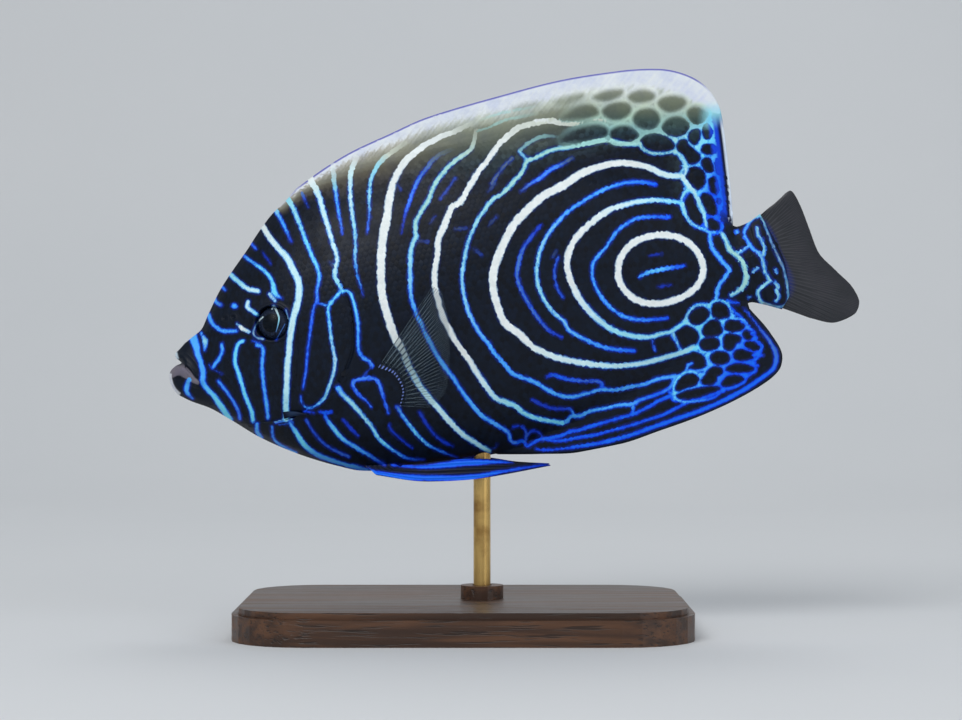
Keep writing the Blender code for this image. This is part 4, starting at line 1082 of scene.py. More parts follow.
# %% Cells of the net
DORSAL_CELLS = [
    [703,128, 707,124, 711,128, 712,134, 708,139, 704,136],
    [689,135, 693,130, 699,130, 700,135, 698,141, 694,144, 689,140],
    [677,147, 680,141, 685,140, 689,146, 694,150, 699,155, 699,160, 695,163, 688,163, 684,158, 680,152],
    [702,149, 705,145, 713,145, 718,149, 715,153, 709,154, 703,152],
    [662,128, 667,120, 675,117, 682,118, 688,123, 688,129, 683,134, 676,136, 668,134],
    [641,141, 646,136, 655,134, 664,136, 671,141, 674,147, 668,150, 656,151, 646,148],
    [633,119, 637,112, 645,109, 654,110, 659,116, 659,122, 654,128, 646,129, 637,126],
    [610,132, 617,127, 626,126, 633,129, 638,135, 633,140, 623,142, 613,140],
    [561,141, 567,134, 580,128, 595,125, 605,127, 608,132, 604,137, 590,140, 575,142],
    [563,118, 570,111, 580,106, 590,105, 597,109, 598,114, 591,117, 578,119],
    [602,112, 607,106, 616,103, 626,103, 631,108, 629,114, 621,119, 610,119],
    [593,98, 600,93, 611,90, 622,90, 622,94, 616,98, 605,101],
    [628,97, 634,92, 645,90, 654,94, 653,99, 644,102, 634,102],
    [658,103, 663,98, 673,96, 683,98, 686,103, 680,109, 670,112, 662,109],
    [553,102, 561,98, 573,95, 583,94, 582,98, 573,102, 562,105],
    [513,108, 523,104, 536,102, 537,105, 527,109, 516,111],
    [687,113, 691,108, 698,107, 704,110, 708,114, 704,120, 698,124, 691,121],
    [683,175, 687,170, 693,168, 700,169, 704,174, 705,181, 703,186, 698,189, 693,189, 688,184],
    [687,194, 692,195, 695,201, 698,207, 702,214, 703,220, 699,225, 694,222, 688,216, 685,209, 684,200],
    [702,163, 704,159, 709,159, 711,163, 713,169, 710,172, 705,170],
    [715,163, 717,159, 719,163, 721,170, 720,174, 717,173],
    [709,183, 710,179, 714,177, 717,181, 718,187, 718,192, 715,194, 711,190],
    [717,201, 719,199, 721,201, 719,204],
    [700,199, 702,195, 707,194, 711,197, 714,202, 716,209, 715,214, 710,214, 705,211, 702,205],
    [707,222, 710,219, 715,221, 719,224, 719,228, 715,231, 710,229],
]
ANAL_CELLS = [
    [689,318, 692,312, 698,308, 704,308, 708,311, 708,316, 704,321, 698,324, 692,323],
    [676,333, 680,328, 686,326, 693,329, 697,333, 698,338, 695,344, 690,348, 684,349, 680,343],
    [712,310, 713,305, 718,303, 723,304, 727,308, 729,314, 727,317, 719,318, 714,316],
    [703,329, 707,324, 711,321, 717,321, 720,324, 722,331, 719,334, 711,336, 704,335],
    [725,325, 728,321, 735,321, 741,322, 744,326, 740,330, 732,331, 726,329],
    [700,344, 703,340, 709,338, 716,339, 719,343, 716,348, 709,350, 703,349],
    [724,339, 726,335, 733,335, 740,337, 740,341, 736,343, 733,348, 728,350, 724,346],
    [743,334, 745,331, 750,332, 752,335, 749,339, 745,338],
    [745,344, 748,342, 754,343, 759,347, 756,350, 749,348],
    [711,357, 714,353, 721,352, 727,354, 729,358, 727,362, 720,364, 713,362],
    [734,355, 736,351, 742,350, 749,352, 755,355, 752,358, 744,360, 736,359],
    [726,369, 733,365, 741,364, 749,366, 753,369, 749,371, 738,372, 730,371],
    [702,381, 706,375, 710,369, 716,367, 721,369, 722,373, 717,376, 716,380, 712,384, 705,384],
    [676,389, 679,381, 684,376, 690,374, 696,376, 698,380, 694,385, 687,387, 680,390],
    [722,384, 725,379, 730,376, 738,376, 743,379, 739,382, 732,385, 725,386],
    [677,396, 684,392, 692,390, 702,388, 713,387, 719,388, 717,392, 710,396, 698,398, 684,399],
]
WEB_WIDTH = 4.0
WEB_FILL = 6.5
WEB_MARGIN = 1.3
CELL_REACH = 14.0


def cell_distances(places, cells):
    """Distances to the nearest and the second nearest cell, in pixels; negative inside one."""
    near = np.full(len(places), CELL_REACH)
    second = np.full(len(places), CELL_REACH)
    for cell in cells:
        loop = smooth_line(cell, True)
        gap, _ = distance_to(places, loop, reach=CELL_REACH)
        around = np.nonzero(gap < CELL_REACH)[0]
        gap[around[inside(places[around], loop[:-1])]] *= -1.0
        closer = gap < near
        second = np.where(closer, near, np.minimum(second, gap))
        near = np.where(closer, gap, near)
    return near, second


def tones_along(value, knots):
    """Colours read off a list of (value, colour) knots."""
    at = [knot[0] for knot in knots]
    return np.stack([np.interp(value, at, [knot[1][i] for knot in knots]) for i in range(3)], 1)


def dorsal_web(x, y):
    """Colour and strength of the dorsal fin's web at places in the picture."""
    toward_rear = x + 0.3 * (y - 150.0)
    colour = tones_along(toward_rear, [(650, MINT), (690, PALE), (706, AQUA), (716, AZURE), (723, SEA)])
    strength = soft_step(y + 0.25 * (x - 640.0), 118.0, 150.0)
    rim = x - 719.0 - 0.125 * (y - 125.0)
    return np.column_stack([colour, strength * fall(rim, -7.0, -4.5)])


def anal_web(x, y):
    """Colour and strength of the anal fin's web at places in the picture."""
    toward_edge = 0.8 * (x - 700.0) + 0.5 * (y - 330.0)
    colour = tones_along(toward_edge, [(-16, PALE), (-4, AQUA), (9, AQUA), (26, AZURE), (44, SEA)])
    return np.column_stack([colour, np.ones(len(x))])


print(len(DORSAL_CELLS), "cells on the dorsal fin,", len(ANAL_CELLS), "on the anal fin")

# %% [markdown]
# Where the net meets the rings, single strands run out of it and the rings end in it. They
# are stripes like the others, since a cell on each side of them would be hard to place.

# %% Strands that tie the net to the rings
stripe("net_tongue", [PALE, PALE, ICE], [4.0, 5.0, 4.0], 675,152, 681,156, 685,163, 686,170, 684,177)
stripe("net_upper_strand", [ICE, PALE, PALE], [6.5, 6.0, 5.5, 4.5], 682,177, 688,186, 695,193, 698,200,
    700,206, 704,213, 705,220, 706,227)
stripe("net_lower_strand", [PALE, PALE, AQUA, AZURE], [4.5, 4.0, 4.0, 3.0], 682,203, 684,211, 688,220,
    695,226, 703,229, 710,232, 720,233)
stripe("net_small_blue", BLUE, 2.5, 688,193, 684,199, strength=0.8)
stripe("anal_cell_front", [AZURE, BLUE], 3.4, 672,336, 677,343, 681,350)
stripe("anal_cell_dash", [DIM, BLUE], [2.0, 3.2, 2.5], 652,337, 653,344, 655,351, strength=0.85)
stripe("anal_upper_strand", [AQUA, AZURE], [3.5, 4.0, 3.5], 688,313, 694,306, 703,304, 709,306)
stripe("anal_round_cell", [AQUA, AZURE, AZURE], 3.4, 694,350, 702,353, 707,359, 708,366, 703,370, 696,371,
    689,371, 682,374, 674,378)
stripe("anal_hook", AZURE, [2.5, 3.5, 3.0], 692,363, 688,365, 686,371)
stripe("anal_knot", [SEA, AZURE], [3.0, 5.0, 4.0], 668,391, 673,395, 675,400)
for finger, points in enumerate([
    (727,301, 731,302, 738,303), (730,308, 735,312, 742,318), (742,321, 747,325), (752,333, 756,338),
    (754,355, 762,355), (751,364, 758,366), (744,376, 750,375),
]):
    stripe(f"net_finger_{finger}", SEA, [4.5, 3.0], *points)
print(len(stripes), "stripes with the strands")

# %% [markdown]
# ## From the pattern to the skin
#
# Painting a picture would fix its sharpness. Instead each corner of the mesh learns how
# far inside the nearest stripe it lies, in millimetres, and which colour that stripe has.
# The finish then draws the edge where that distance is nought, as sharp as it likes. A
# second colour holds the ground under the stripes.

# %% Measure the pattern


def smooth_line(points, ring):
    """A rounder line through the points of a stripe or of a cell's loop."""
    points = np.array(points, float).reshape(-1, 2)
    if len(points) < 3:
        return points
    if ring:
        padded = np.concatenate([points[-1:], points, points[:2]])
    else:
        padded = np.concatenate([2 * points[:1] - points[1:2], points, 2 * points[-1:] - points[-2:-1]])
    made = []
    for i in range(1, len(padded) - 2):
        a, b, c, d = padded[i - 1:i + 3]
        for t in (0.0, 0.25, 0.5, 0.75):
            made.append(0.5 * (2 * b + (c - a) * t + (2 * a - 5 * b + 4 * c - d) * t ** 2
                               + (3 * b - a - 3 * c + d) * t ** 3))
    made.append(padded[-2])
    return np.array(made)


def spread(values, share):
    """Values spread evenly over a stripe, read at a share of its length."""
    values = np.array(values, float)
    if len(values) == 1:
        return np.repeat(values, len(share), axis=0)
    at = share * (len(values) - 1)
    i = np.clip(at.astype(int), 0, len(values) - 2)
    t = at - i
    t = t[:, None] if values.ndim > 1 else t
    return values[i] * (1 - t) + values[i + 1] * t


MARK_REACH = 14.0
FRINGE = 0.5


def measure_pattern(places):
    """For places in the picture: the depth inside the pattern in mm, its colour and its strength."""
    depth = np.full(len(places), -MARK_REACH)
    colour = np.zeros((len(places), 4))
    for colours, widths, strength, points, ring in stripes.values():
        gap, share = distance_to(places, smooth_line(points, ring), reach=MARK_REACH)
        near = np.nonzero(gap < MARK_REACH)[0]
        inner = 0.5 * spread(widths, share[near]) - FRINGE - gap[near]
        better = inner > depth[near]
        picked = near[better]
        depth[picked] = inner[better]
        colour[picked, :3] = spread(colours, share[picked])
        colour[picked, 3] = spread(strength, share[picked])
    for cells, tones in ((DORSAL_CELLS, dorsal_web), (ANAL_CELLS, anal_web)):
        near, second = cell_distances(places, cells)
        inner = np.minimum(near - WEB_MARGIN, np.maximum(WEB_WIDTH - near, WEB_FILL - second))
        picked = inner > depth
        depth[picked] = inner[picked]
        colour[picked] = tones(*places[picked].T)
    return depth * PIXEL, colour


# %% [markdown]
# The ground is not black all over. Along the dorsal fin's free edge runs a white band,
# and below it the black gives way to olive grey before it closes again. The lips are pale
# grey, and the rear edge of the dorsal fin is strong blue with a thread of white.

# %% Colours of the ground
BLACK = linear(6, 17, 32)
BAND = linear(226, 231, 234)
OLIVE_TONES = [
    (0.0, BAND), (0.09, linear(196, 204, 190)), (0.22, linear(134, 140, 122)), (0.45, linear(84, 92, 82)),
    (0.72, linear(40, 54, 60)), (1.0, BLACK),
]
CELL_TONES = [
    (86, linear(150, 154, 138)), (98, linear(118, 126, 108)), (110, linear(96, 106, 90)),
    (120, linear(64, 84, 78)), (132, linear(34, 54, 62)), (146, BLACK),
]
WEB_TONES = [
    (90, linear(232, 238, 234)), (104, linear(206, 220, 202)), (116, linear(184, 214, 194)),
    (132, linear(150, 204, 202)),
]
FRONT_TONES = [
    (0.0, BAND), (0.07, linear(182, 180, 168)), (0.2, linear(140, 140, 124)), (0.45, linear(92, 88, 76)),
    (0.72, linear(54, 52, 52)), (1.0, BLACK),
]
WHITE_BAND = smooth_through([
    (250, 0.5), (275, 2.0), (300, 5.0), (330, 6.5), (350, 7.5), (400, 11.0), (440, 11.5), (480, 13.0),
    (520, 16.0), (560, 16.0), (600, 15.0), (640, 18.0), (680, 22.0), (705, 22.0), (716, 13.0),
    (722, 4.0), (730, 1.5), (740, 1.2),
])
OLIVE_BAND = smooth_through([
    (250, 3.0), (300, 18.0), (330, 34.0), (350, 45.0), (400, 60.0), (450, 74.0), (500, 84.0), (560, 88.0),
    (610, 84.0), (650, 72.0), (680, 58.0), (700, 42.0), (716, 26.0), (724, 9.0), (740, 6.0),
])
STREAK = linear(196, 206, 232)
STREAK_REACH = 2.4
VIOLET = linear(58, 56, 172)
BANDS_FROM = 250.0
BANDS_TO = 740.0


def lay_over(ground, colour, share):
    """A colour laid over the ground, as thick as its share says."""
    share = np.clip(share, 0.0, 1.0)[:, None]
    return ground * (1 - share) + np.array(colour) * share


def ground_colours(points, places):
    """The colour between the stripes, for points of the side view seen at places in the picture."""
    x, y = places.T
    edge, _ = distance_to(points, np.concatenate([DORSAL_FRONT[:-1], drawn_curve(DORSAL_EDGE)]))
    edge = edge / PIXEL
    behind = soft_step(y, 104.0, 126.0) * soft_step(x, 680.0, 706.0)
    within = np.clip(x, BANDS_FROM, BANDS_TO)
    band = WHITE_BAND(within) * (1.0 - behind) - 6.0 * behind
    zone = OLIVE_BAND(within) * (1.0 - behind) + 2.0 * behind
    streak = np.zeros(len(points))
    fin = (points[:, 1] > 15.0) & (points[:, 0] > 26.0)
    along, _ = fin_places(points[fin], DORSAL_BASE, DORSAL_EDGE)
    turn = 2.0 * np.pi * DORSAL_RAYS * along
    streak[fin] = 0.5 * np.sin(2.0 * turn + 2.0 * np.sin(0.2 * turn)) + 0.5 * np.sin(3.3 * turn + 1.0)
    t = (edge - band + 2.0) / (zone - band)
    t = t + STREAK_REACH * streak * fall(t, 0.05, 0.35) / (zone - band)
    front = fall(x, 360.0, 500.0)[:, None]
    ground = tones_along(t, OLIVE_TONES) * (1.0 - front) + tones_along(t, FRONT_TONES) * front
    ground = lay_over(ground, STREAK, (0.12 + 0.16 * streak) * fall(t, -0.1, 0.1))
    by_cells = (x > 500.0) & (x < BANDS_TO) & (y < 160.0)
    near = np.full(len(places), CELL_REACH)
    near[by_cells] = cell_distances(places[by_cells], DORSAL_CELLS)[0]
    high = fall(y + 0.25 * (x - 640.0), 118.0, 150.0)
    left = soft_step(x, 545.0, 615.0)
    web = high * left * soft_step(near, -3.0, 2.0) * fall(near, 2.5, 7.0)
    ground = lay_over(ground, tones_along(y, WEB_TONES), web)
    cell = soft_step(-near, -1.6 - 2.6 * high, 2.0 + 1.0 * high) * (0.45 + 0.55 * left)
    ground = lay_over(ground, tones_along(y, CELL_TONES), cell)
    margin = soft_step(x, 280.0, 310.0) * fall(x, 694.0, 714.0) * fall(edge, 1.2, 2.4)
    return lay_over(ground, VIOLET, 0.85 * margin)


LIP = linear(116, 110, 118)
CHIN_WHITE = linear(225, 228, 232)
SNOUT_WHITE = linear(214, 232, 240)
REAR_CYAN = linear(150, 226, 240)
REAR_BLUE = linear(12, 70, 220)
REAR_DARK = linear(6, 16, 48)
REAR_THREAD = linear(222, 234, 244)
LIP_LINE = [(0.35, 0.95), (1.4, 1.15), (2.4, 0.85), (3.3, 0.0), (4.2, -1.2), (4.9, -1.9)]
CHIN_RIM = [(-0.1, 0.6), (-0.2, 0.0), (-0.18, -1.1), (0.1, -2.2), (0.7, -3.1)]
SNOUT_TIP = [(1.55, 4.4), (1.7, 3.5)]


def face_colours(points, ground):
    """Pale lower lip, white snout tip and chin rim."""
    gap, share = distance_to(points, drawn_curve(LIP_LINE, 0.2), reach=3.0)
    width = np.interp(share, [0.0, 0.5, 1.0], [0.95, 0.95, 0.35])
    ground = lay_over(ground, LIP, fall(gap, width - 0.12, width + 0.1))
    gap, _ = distance_to(points, np.array(CHIN_RIM), reach=3.0)
    ground = lay_over(ground, CHIN_WHITE, 0.9 * fall(gap, 0.22, 0.45))
    gap, _ = distance_to(points, np.array(SNOUT_TIP), reach=3.0)
    return lay_over(ground, SNOUT_WHITE, 0.9 * fall(gap, 0.3, 0.6))


def rear_edge_colours(points, places, ground):
    """The blue rear of the dorsal fin, its dark strip and its white thread."""
    edge, share = distance_to(points, drawn_curve(DORSAL_EDGE), reach=6.0)
    edge = edge / PIXEL
    x, y = places.T
    upper = np.where((share > 0.5) & (x > 700.0) & (y < 240.0), soft_step(y, 112.0, 132.0), 0.0)
    turning = soft_step(x, 696.0, 712.0) * soft_step(y, 98.0, 114.0) * fall(y, 124.0, 132.0)
    ground = lay_over(ground, REAR_CYAN, 0.75 * turning)
    ground = lay_over(ground, REAR_BLUE, 0.95 * upper * fall(edge, 13.0, 17.0) * fall(y, 208.0, 226.0))
    ground = lay_over(ground, REAR_DARK, upper * fall(edge, 5.0, 7.5))
    return lay_over(ground, REAR_THREAD, upper * fall(y, 223.0, 229.0) * fall(edge, 2.0, 3.2))


print("the ground has", len(OLIVE_TONES), "tones under the dorsal fin's edge")

# %% [markdown]
# No two sides of a fish carry quite the same lines. The right side could get stripes of its
# own, but nobody has seen them here. So it reads the same pattern a little displaced, by a
# slow wave that dies out at the rim, where both sides must agree.

# %% Give both sides their pattern


def place_in_picture(points, height, side):
    """Where the pattern is read for the points of one side."""
    x, y = seen(points[:, 0], points[:, 1], -height)
    if side > 0:
        rim, _ = distance_to(points, outline[::3], close=True)
        sway = soft_step(rim, 0.5, 9.0)
        x, y = (
            x + sway * (5.0 * np.sin(y / 41.0 + 1.0) + 2.5 * np.sin(x / 23.0)),
            y + sway * (4.0 * np.sin(x / 47.0 + 2.0) + 2.0 * np.sin(y / 19.0)),
        )
    return np.stack([x, y], 1)


def store(mesh, name, values):
    """Stores a number or a colour for each corner of a mesh."""
    values = np.asarray(values, np.float32)
    kind, field = ("FLOAT_COLOR", "color") if values.ndim == 2 else ("FLOAT", "value")
    layer = mesh.attributes.new(name, kind, "POINT")
    layer.data.foreach_set(field, values.ravel())


def with_alpha(colours):
    return np.column_stack([colours, np.ones(len(colours))])


def paint(mesh, points, height, side, pick=slice(None), tone=None):
    """Stores the pattern's depth and colour, the ground's colour and a tone on a mesh."""
    places = place_in_picture(points, height, side)
    depth, colour = measure_pattern(places)
    ground = ground_colours(points, places)
    ground = rear_edge_colours(points, places, ground)
    ground = face_colours(points, ground)
    store(mesh, "mark", depth[pick])
    store(mesh, "mark_colour", colour[pick])
    store(mesh, "ground", with_alpha(ground)[pick])
    store(mesh, "tone", np.full(len(mesh.vertices), 0.5) if tone is None else tone)
    return (depth > 0.0).mean()


for side, piece in skins.items():
    share = paint(piece.data, skin_uv, skin_h, side)
    print(piece.name, "is", round(100 * share), "percent stripes")

# %% [markdown]
# ## Finish of the skin
#
# The graph reads the three layers. It shakes the depth with fine noise first, since a
# stripe's edge follows the scales and is never clean. Then it draws the stripe, a rim of
# blue just inside its edge, and a faint glow of deep blue just outside. The black must
# stay black, so the skin shines only a little, as a varnished model does.

# %% Build the skin's finish
skin, tree, shader = new_finish("painted_skin", Specular_IOR_Level=0.18)
depth = read("mark")
mark = read("mark_colour", "Color")
strength = read("mark_colour", "Alpha")
ground = read("ground", "Color")
place = add("TexCoord").outputs["Object"]
shake = times(maths("SUBTRACT", noise(place, 1500.0, 2.0, Roughness=0.6), 0.5), 0.34)
drift = times(maths("SUBTRACT", noise(place, 420.0, 1.0), 0.5), 0.22)
depth = maths("ADD", depth, maths("ADD", shake, drift))
drawn_share = times(ramp(depth, -0.13, 0.03), strength)

dark = ramp(add("RGBToBW", Color=ground).outputs[0], 0.02, 0.12, 1.0, 0.0)
redness = add("SeparateColor", Color=mark).outputs["Red"]
whiteness = ramp(redness, 0.55, 0.8)
core = mix(whiteness, ramp(depth, 0.0, 0.25), ramp(depth, -0.03, 0.17))
blue_rim = mix(0.5, mix(1.0, mark, (0.20, 0.5, 1.0), "MULTIPLY"), linear(4, 48, 214))
teal_rim = mix(1.0, mark, (0.22, 0.45, 0.85), "MULTIPLY")
grey_rim = mix(1.0, mark, (0.42, 0.56, 0.72), "MULTIPLY")
rim = mix(whiteness, mix(ramp(redness, 0.2, 0.36), blue_rim, teal_rim), grey_rim)
line_colour = mix(core, mix(dark, mark, rim), mark)
outside = times(ramp(depth, -0.5, -0.08), strength)
glow = times(times(outside, dark), ramp(whiteness, 0.0, 1.0, 1.0, 0.35))
mottle = noise(place, 260.0, 4.0, Roughness=0.65)
dusk = mix(ramp(mottle, 0.35, 0.7, 0.0, 0.35), ground, mix(1.0, ground, (0.55, 0.6, 0.9), "MULTIPLY"))
near = mix(glow, dusk, mix(0.7, dusk, linear(6, 34, 128)))
tone = maths("SUBTRACT", read("tone"), 0.5)
ground_shade = maths("ADD", times(tone, ramp(dark, 0.0, 1.0, 0.06, 0.9)), 1.0)
line_shade = maths("ADD", times(tone, 0.1), 1.0)
near = mix(1.0, near, ground_shade, "MULTIPLY")
line_colour = mix(1.0, line_colour, line_shade, "MULTIPLY")
whole = mix(drawn_share, near, line_colour)
link(whole, "Base Color")
link(ramp(mottle, 0.3, 0.7, 0.40, 0.54), "Roughness")
for piece in skins.values():
    piece.data.materials.clear()
    piece.data.materials.append(skin)
print("the skin's finish has", len(tree.nodes), "nodes")

# %% [markdown]
# ## Scales
#
# A young emperor is clad in small rough scales, finer on the face, the fins and the tail
# stem than on the flank. Each one here is a thin rounded plate of mesh: its front end lies
# just under the skin, its rear edge lifts a little over the start of the next, and a short
# wall closes it below. They are set out like a honeycomb whose pitch changes slowly. The
# lips, the ring of the eye, the nostrils and the outer part of the fins stay bare.

# %% Where the scales sit
HEAD_PITCH = 0.8
FLANK_PITCH = 0.98
STEM_PITCH = 0.78
BARE_RIM = 0.95
BARE_FIN = 0.8
ROW_PITCH = 0.87
JITTER = 0.07
SCALE_LENGTH = 1.45
SCALE_HALF_WIDTH = 0.62


def pitch_along(u):
    rise = soft_step(u, 20.0, 34.0)
    fall = soft_step(u, 92.0, 106.0)
    return HEAD_PITCH + (FLANK_PITCH - HEAD_PITCH) * rise + (STEM_PITCH - FLANK_PITCH) * fall


def pitch_up(v):
    return ROW_PITCH * (1.08 - 0.2 * soft_step(np.abs(v - 2.0), 14.0, 26.0))


def spaced(low, high, pitch, share):
    """Places from low to high, a share of the changing pitch apart."""
    ruler = np.arange(low, high, 0.02)
    count = np.cumsum(0.02 / pitch(ruler))
    return np.interp(np.arange(count[0], count[-1], share), count, ruler)


columns = spaced(outline[:, 0].min(), outline[:, 0].max(), pitch_along, 0.5)
rows = spaced(outline[:, 1].min(), outline[:, 1].max(), pitch_up, 1.0)
i, j = np.meshgrid(np.arange(len(columns)), np.arange(len(rows)))
even = (i + j) % 2 == 0
scale_root = np.column_stack([columns[i[even]], rows[j[even]]])
chance = np.random.default_rng(11)
scale_root += chance.uniform(-JITTER, JITTER, scale_root.shape)
scale_root = scale_root[inside(scale_root, outline)]

u, v = scale_root.T
rim, _ = distance_to(scale_root, outline, close=True)
bare = (rim < BARE_RIM) | (u < 5.6) | (np.hypot(u + 0.5 - EYE_U, v - EYE_V) < EYE_RADIUS + 1.15)
for nu, nv, radius in NOSTRILS:
    bare |= np.hypot(u + 0.5 - nu, v - nv) < 2.0 * radius + 0.6
lean = -0.5 * np.arctan2(v + 2.0, 150.0 - u)
edges = ((DORSAL_BASE, DORSAL_EDGE, 0.75), (ANAL_BASE, ANAL_EDGE[:-1][::-1], -0.6))
for (base, edge, turn), fin in zip(edges, fin_zones(u, v)):
    _, out = fin_places(scale_root[fin], base, edge)
    bare[fin] |= out > BARE_FIN
    lean[fin] += turn * soft_step(out, -0.1, 0.5)
scale_root = scale_root[~bare]
lean = lean[~bare] + chance.normal(0.0, 0.05, (~bare).sum())
print(len(scale_root), "scales on each side")

# %% [markdown]
# Every scale is the same small grid of corners, turned to its own lean and laid on the
# slope of the skin beneath it. Thousands of separate objects would be slow to handle, so
# all scales of a side are one mesh. Its map holds a little patch for each scale at its
# place on the unrolled skin, so that colours can be baked on it later without a mix-up.
# The skin itself gets the same map.

# %% Make the scales
ALONG = np.repeat([0.0, 0.45, 0.75, 1.0], 4)
ACROSS = np.tile([-1.0, -0.36, 0.36, 1.0], 4)
SPAN = np.repeat([0.72, 1.0, 0.88, 0.5], 4)
ROOT_LIFT = -0.03
EDGE_LIFT = 0.06
CAMBER = 0.03
WALL = 0.1
TOWARD_MIDDLE = 0.1
PROBE = 0.8
PATCH = 0.003
UNROLLED = 0.0082
UNROLL_STEP = 0.5
MIDDLE_COLUMN = 62

unroll_u = np.arange(-1.0, 118.0, 1.0)
unroll_v = np.arange(-31.0, 41.0, UNROLL_STEP)
grid_u, grid_v = np.meshgrid(unroll_u, unroll_v, indexing="ij")
grid_height = skin_height(np.column_stack([grid_u.ravel(), grid_v.ravel()]))[0].reshape(grid_u.shape)
slope = np.clip(np.gradient(grid_height, UNROLL_STEP, axis=1), -3.0, 3.0)
arc = np.cumsum(UNROLL_STEP * np.sqrt(1.0 + slope ** 2), axis=1)
arc -= arc[:, [MIDDLE_COLUMN]]


def unrolled(points):
    """Where points of the side view lie on the skin unrolled flat, from 0 to 1."""
    a = np.clip(points[:, 0] - unroll_u[0], 0.0, len(unroll_u) - 1.001)
    b = np.clip((points[:, 1] - unroll_v[0]) / UNROLL_STEP, 0.0, len(unroll_v) - 1.001)
    i, j = a.astype(int), b.astype(int)
    s, t = a - i, b - j
    up = (
        arc[i, j] * (1 - s) * (1 - t) + arc[i + 1, j] * s * (1 - t) + arc[i, j + 1] * (1 - s) * t
        + arc[i + 1, j + 1] * s * t
    )
    return np.column_stack([0.02 + UNROLLED * (points[:, 0] + 1.0), 0.46 + UNROLLED * up])


def store_map(mesh, places):
    """Stores a place on the unrolled skin for each corner of a mesh."""
    corner = np.empty(len(mesh.loops), np.int32)
    mesh.loops.foreach_get("vertex_index", corner)
    layer = mesh.uv_layers.new(name="OFBake")
    layer.data.foreach_set("uv", places[corner].astype(np.float32).ravel())


ahead = np.column_stack([np.cos(lean), np.sin(lean)])
aside = np.column_stack([-ahead[:, 1], ahead[:, 0]])
long = SCALE_LENGTH * pitch_along(scale_root[:, 0])
half = SCALE_HALF_WIDTH * pitch_up(scale_root[:, 1]) / ROW_PITCH
probes = [scale_root, scale_root + long[:, None] * ahead]
for side in (-PROBE, PROBE):
    probes.append(scale_root + 0.5 * long[:, None] * ahead + side * half[:, None] * aside)
front, rear, right, left = skin_height(np.concatenate(probes))[0].reshape(4, -1)
steep = (np.abs(rear - front) > 1.1 * long) | (np.abs(left - right) > 2 * PROBE * half)
sag = 0.5 * (left + right) - 0.5 * (front + rear)
keep = ~steep & (np.abs(sag) < 0.12) & (rear > 0.25)
root, ahead, aside = scale_root[keep], ahead[keep], aside[keep]
long, half = long[keep, None], half[keep, None]
front, rear, right, left = (row[keep, None] for row in (front, rear, right, left))

along = ALONG - 0.09 * ACROSS ** 2 * (ALONG == 1.0)
backward = (long * along)[..., None] * ahead[:, None]
sideways = (half * ACROSS * SPAN)[..., None] * aside[:, None]
tops = root[:, None] + backward + sideways
edge_lift = EDGE_LIFT * chance.uniform(0.75, 1.25, len(root))[:, None]
roll = chance.normal(0.0, 0.012, len(root))[:, None]
height = front + (rear - front) * along + (left - right) / (2 * PROBE) * ACROSS * SPAN
height = height + 4.0 * along * (1.0 - along) * sag[keep, None]
height = height + ROOT_LIFT + (edge_lift - ROOT_LIFT) * along - CAMBER * ACROSS ** 2 + roll * ACROSS
middle = tops.mean(1, keepdims=True)
on_stem = soft_step(root[:, 0], 104.0, 108.0) * (np.abs(root[:, 1] + 2.0) < 8.5)
plain = ~in_net(root) | (root[:, 0] > 106.0)
toward = TOWARD_MIDDLE + 0.14 * soft_step(root[:, 0], 22.0, 34.0) * plain + 0.2 * on_stem
points = tops + toward[:, None, None] * (middle - tops)

copies = np.concatenate([np.arange(16), np.arange(12, 16), np.arange(12, 16)])
numbers = np.arange(24).reshape(6, 4)
quads = np.concatenate([quads_of(numbers[:4]), quads_of(numbers[4:])])
tone = chance.uniform(0.0, 1.0, len(root))
each = np.arange(len(root))
pick = (16 * each[:, None] + copies).ravel()
patch_at = unrolled(root)[:, None] + PATCH * (np.column_stack([along - 0.5, 0.5 * ACROSS * SPAN]))[None]
scales = {}
for side, word in SIDES:
    name = "scales_" + word
    w = height[:, copies].copy()
    w[:, 20:] -= WALL
    corners = room(np.column_stack([tops[:, copies].reshape(-1, 2), side * w.ravel()]))
    faces = (24 * each[:, None, None] + (quads if side < 0 else quads[:, ::-1])).reshape(-1, 4)
    mesh = mesh_of(name, corners, faces)
    piece = add_piece(name, mesh, skin)
    paint(mesh, points.reshape(-1, 2), height.ravel(), side, pick, np.repeat(tone, 24))
    store_map(mesh, patch_at.reshape(-1, 2)[pick])
    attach(piece, "root")
    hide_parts("trunk")
    scales[side] = piece
    store_map(skins[side].data, unrolled(skin_uv))
print(len(root), "scales kept,", triangles(piece), "triangles on each side")

# %% [markdown]
# ## Loose fins
#
# The tail fin, the two breast fins and the two belly fins are thin skins stretched over
# fine rays that split towards the edge. Each is a fine grid laid over the same edge lines
# as its solid, thickened to both sides along its own normals. Every corner remembers how
# far across the fan and how far out it lies, so the finish can draw the rays without any
# picture. Their roots run into the body, so no gap shows.

# %% A sheet for a fin


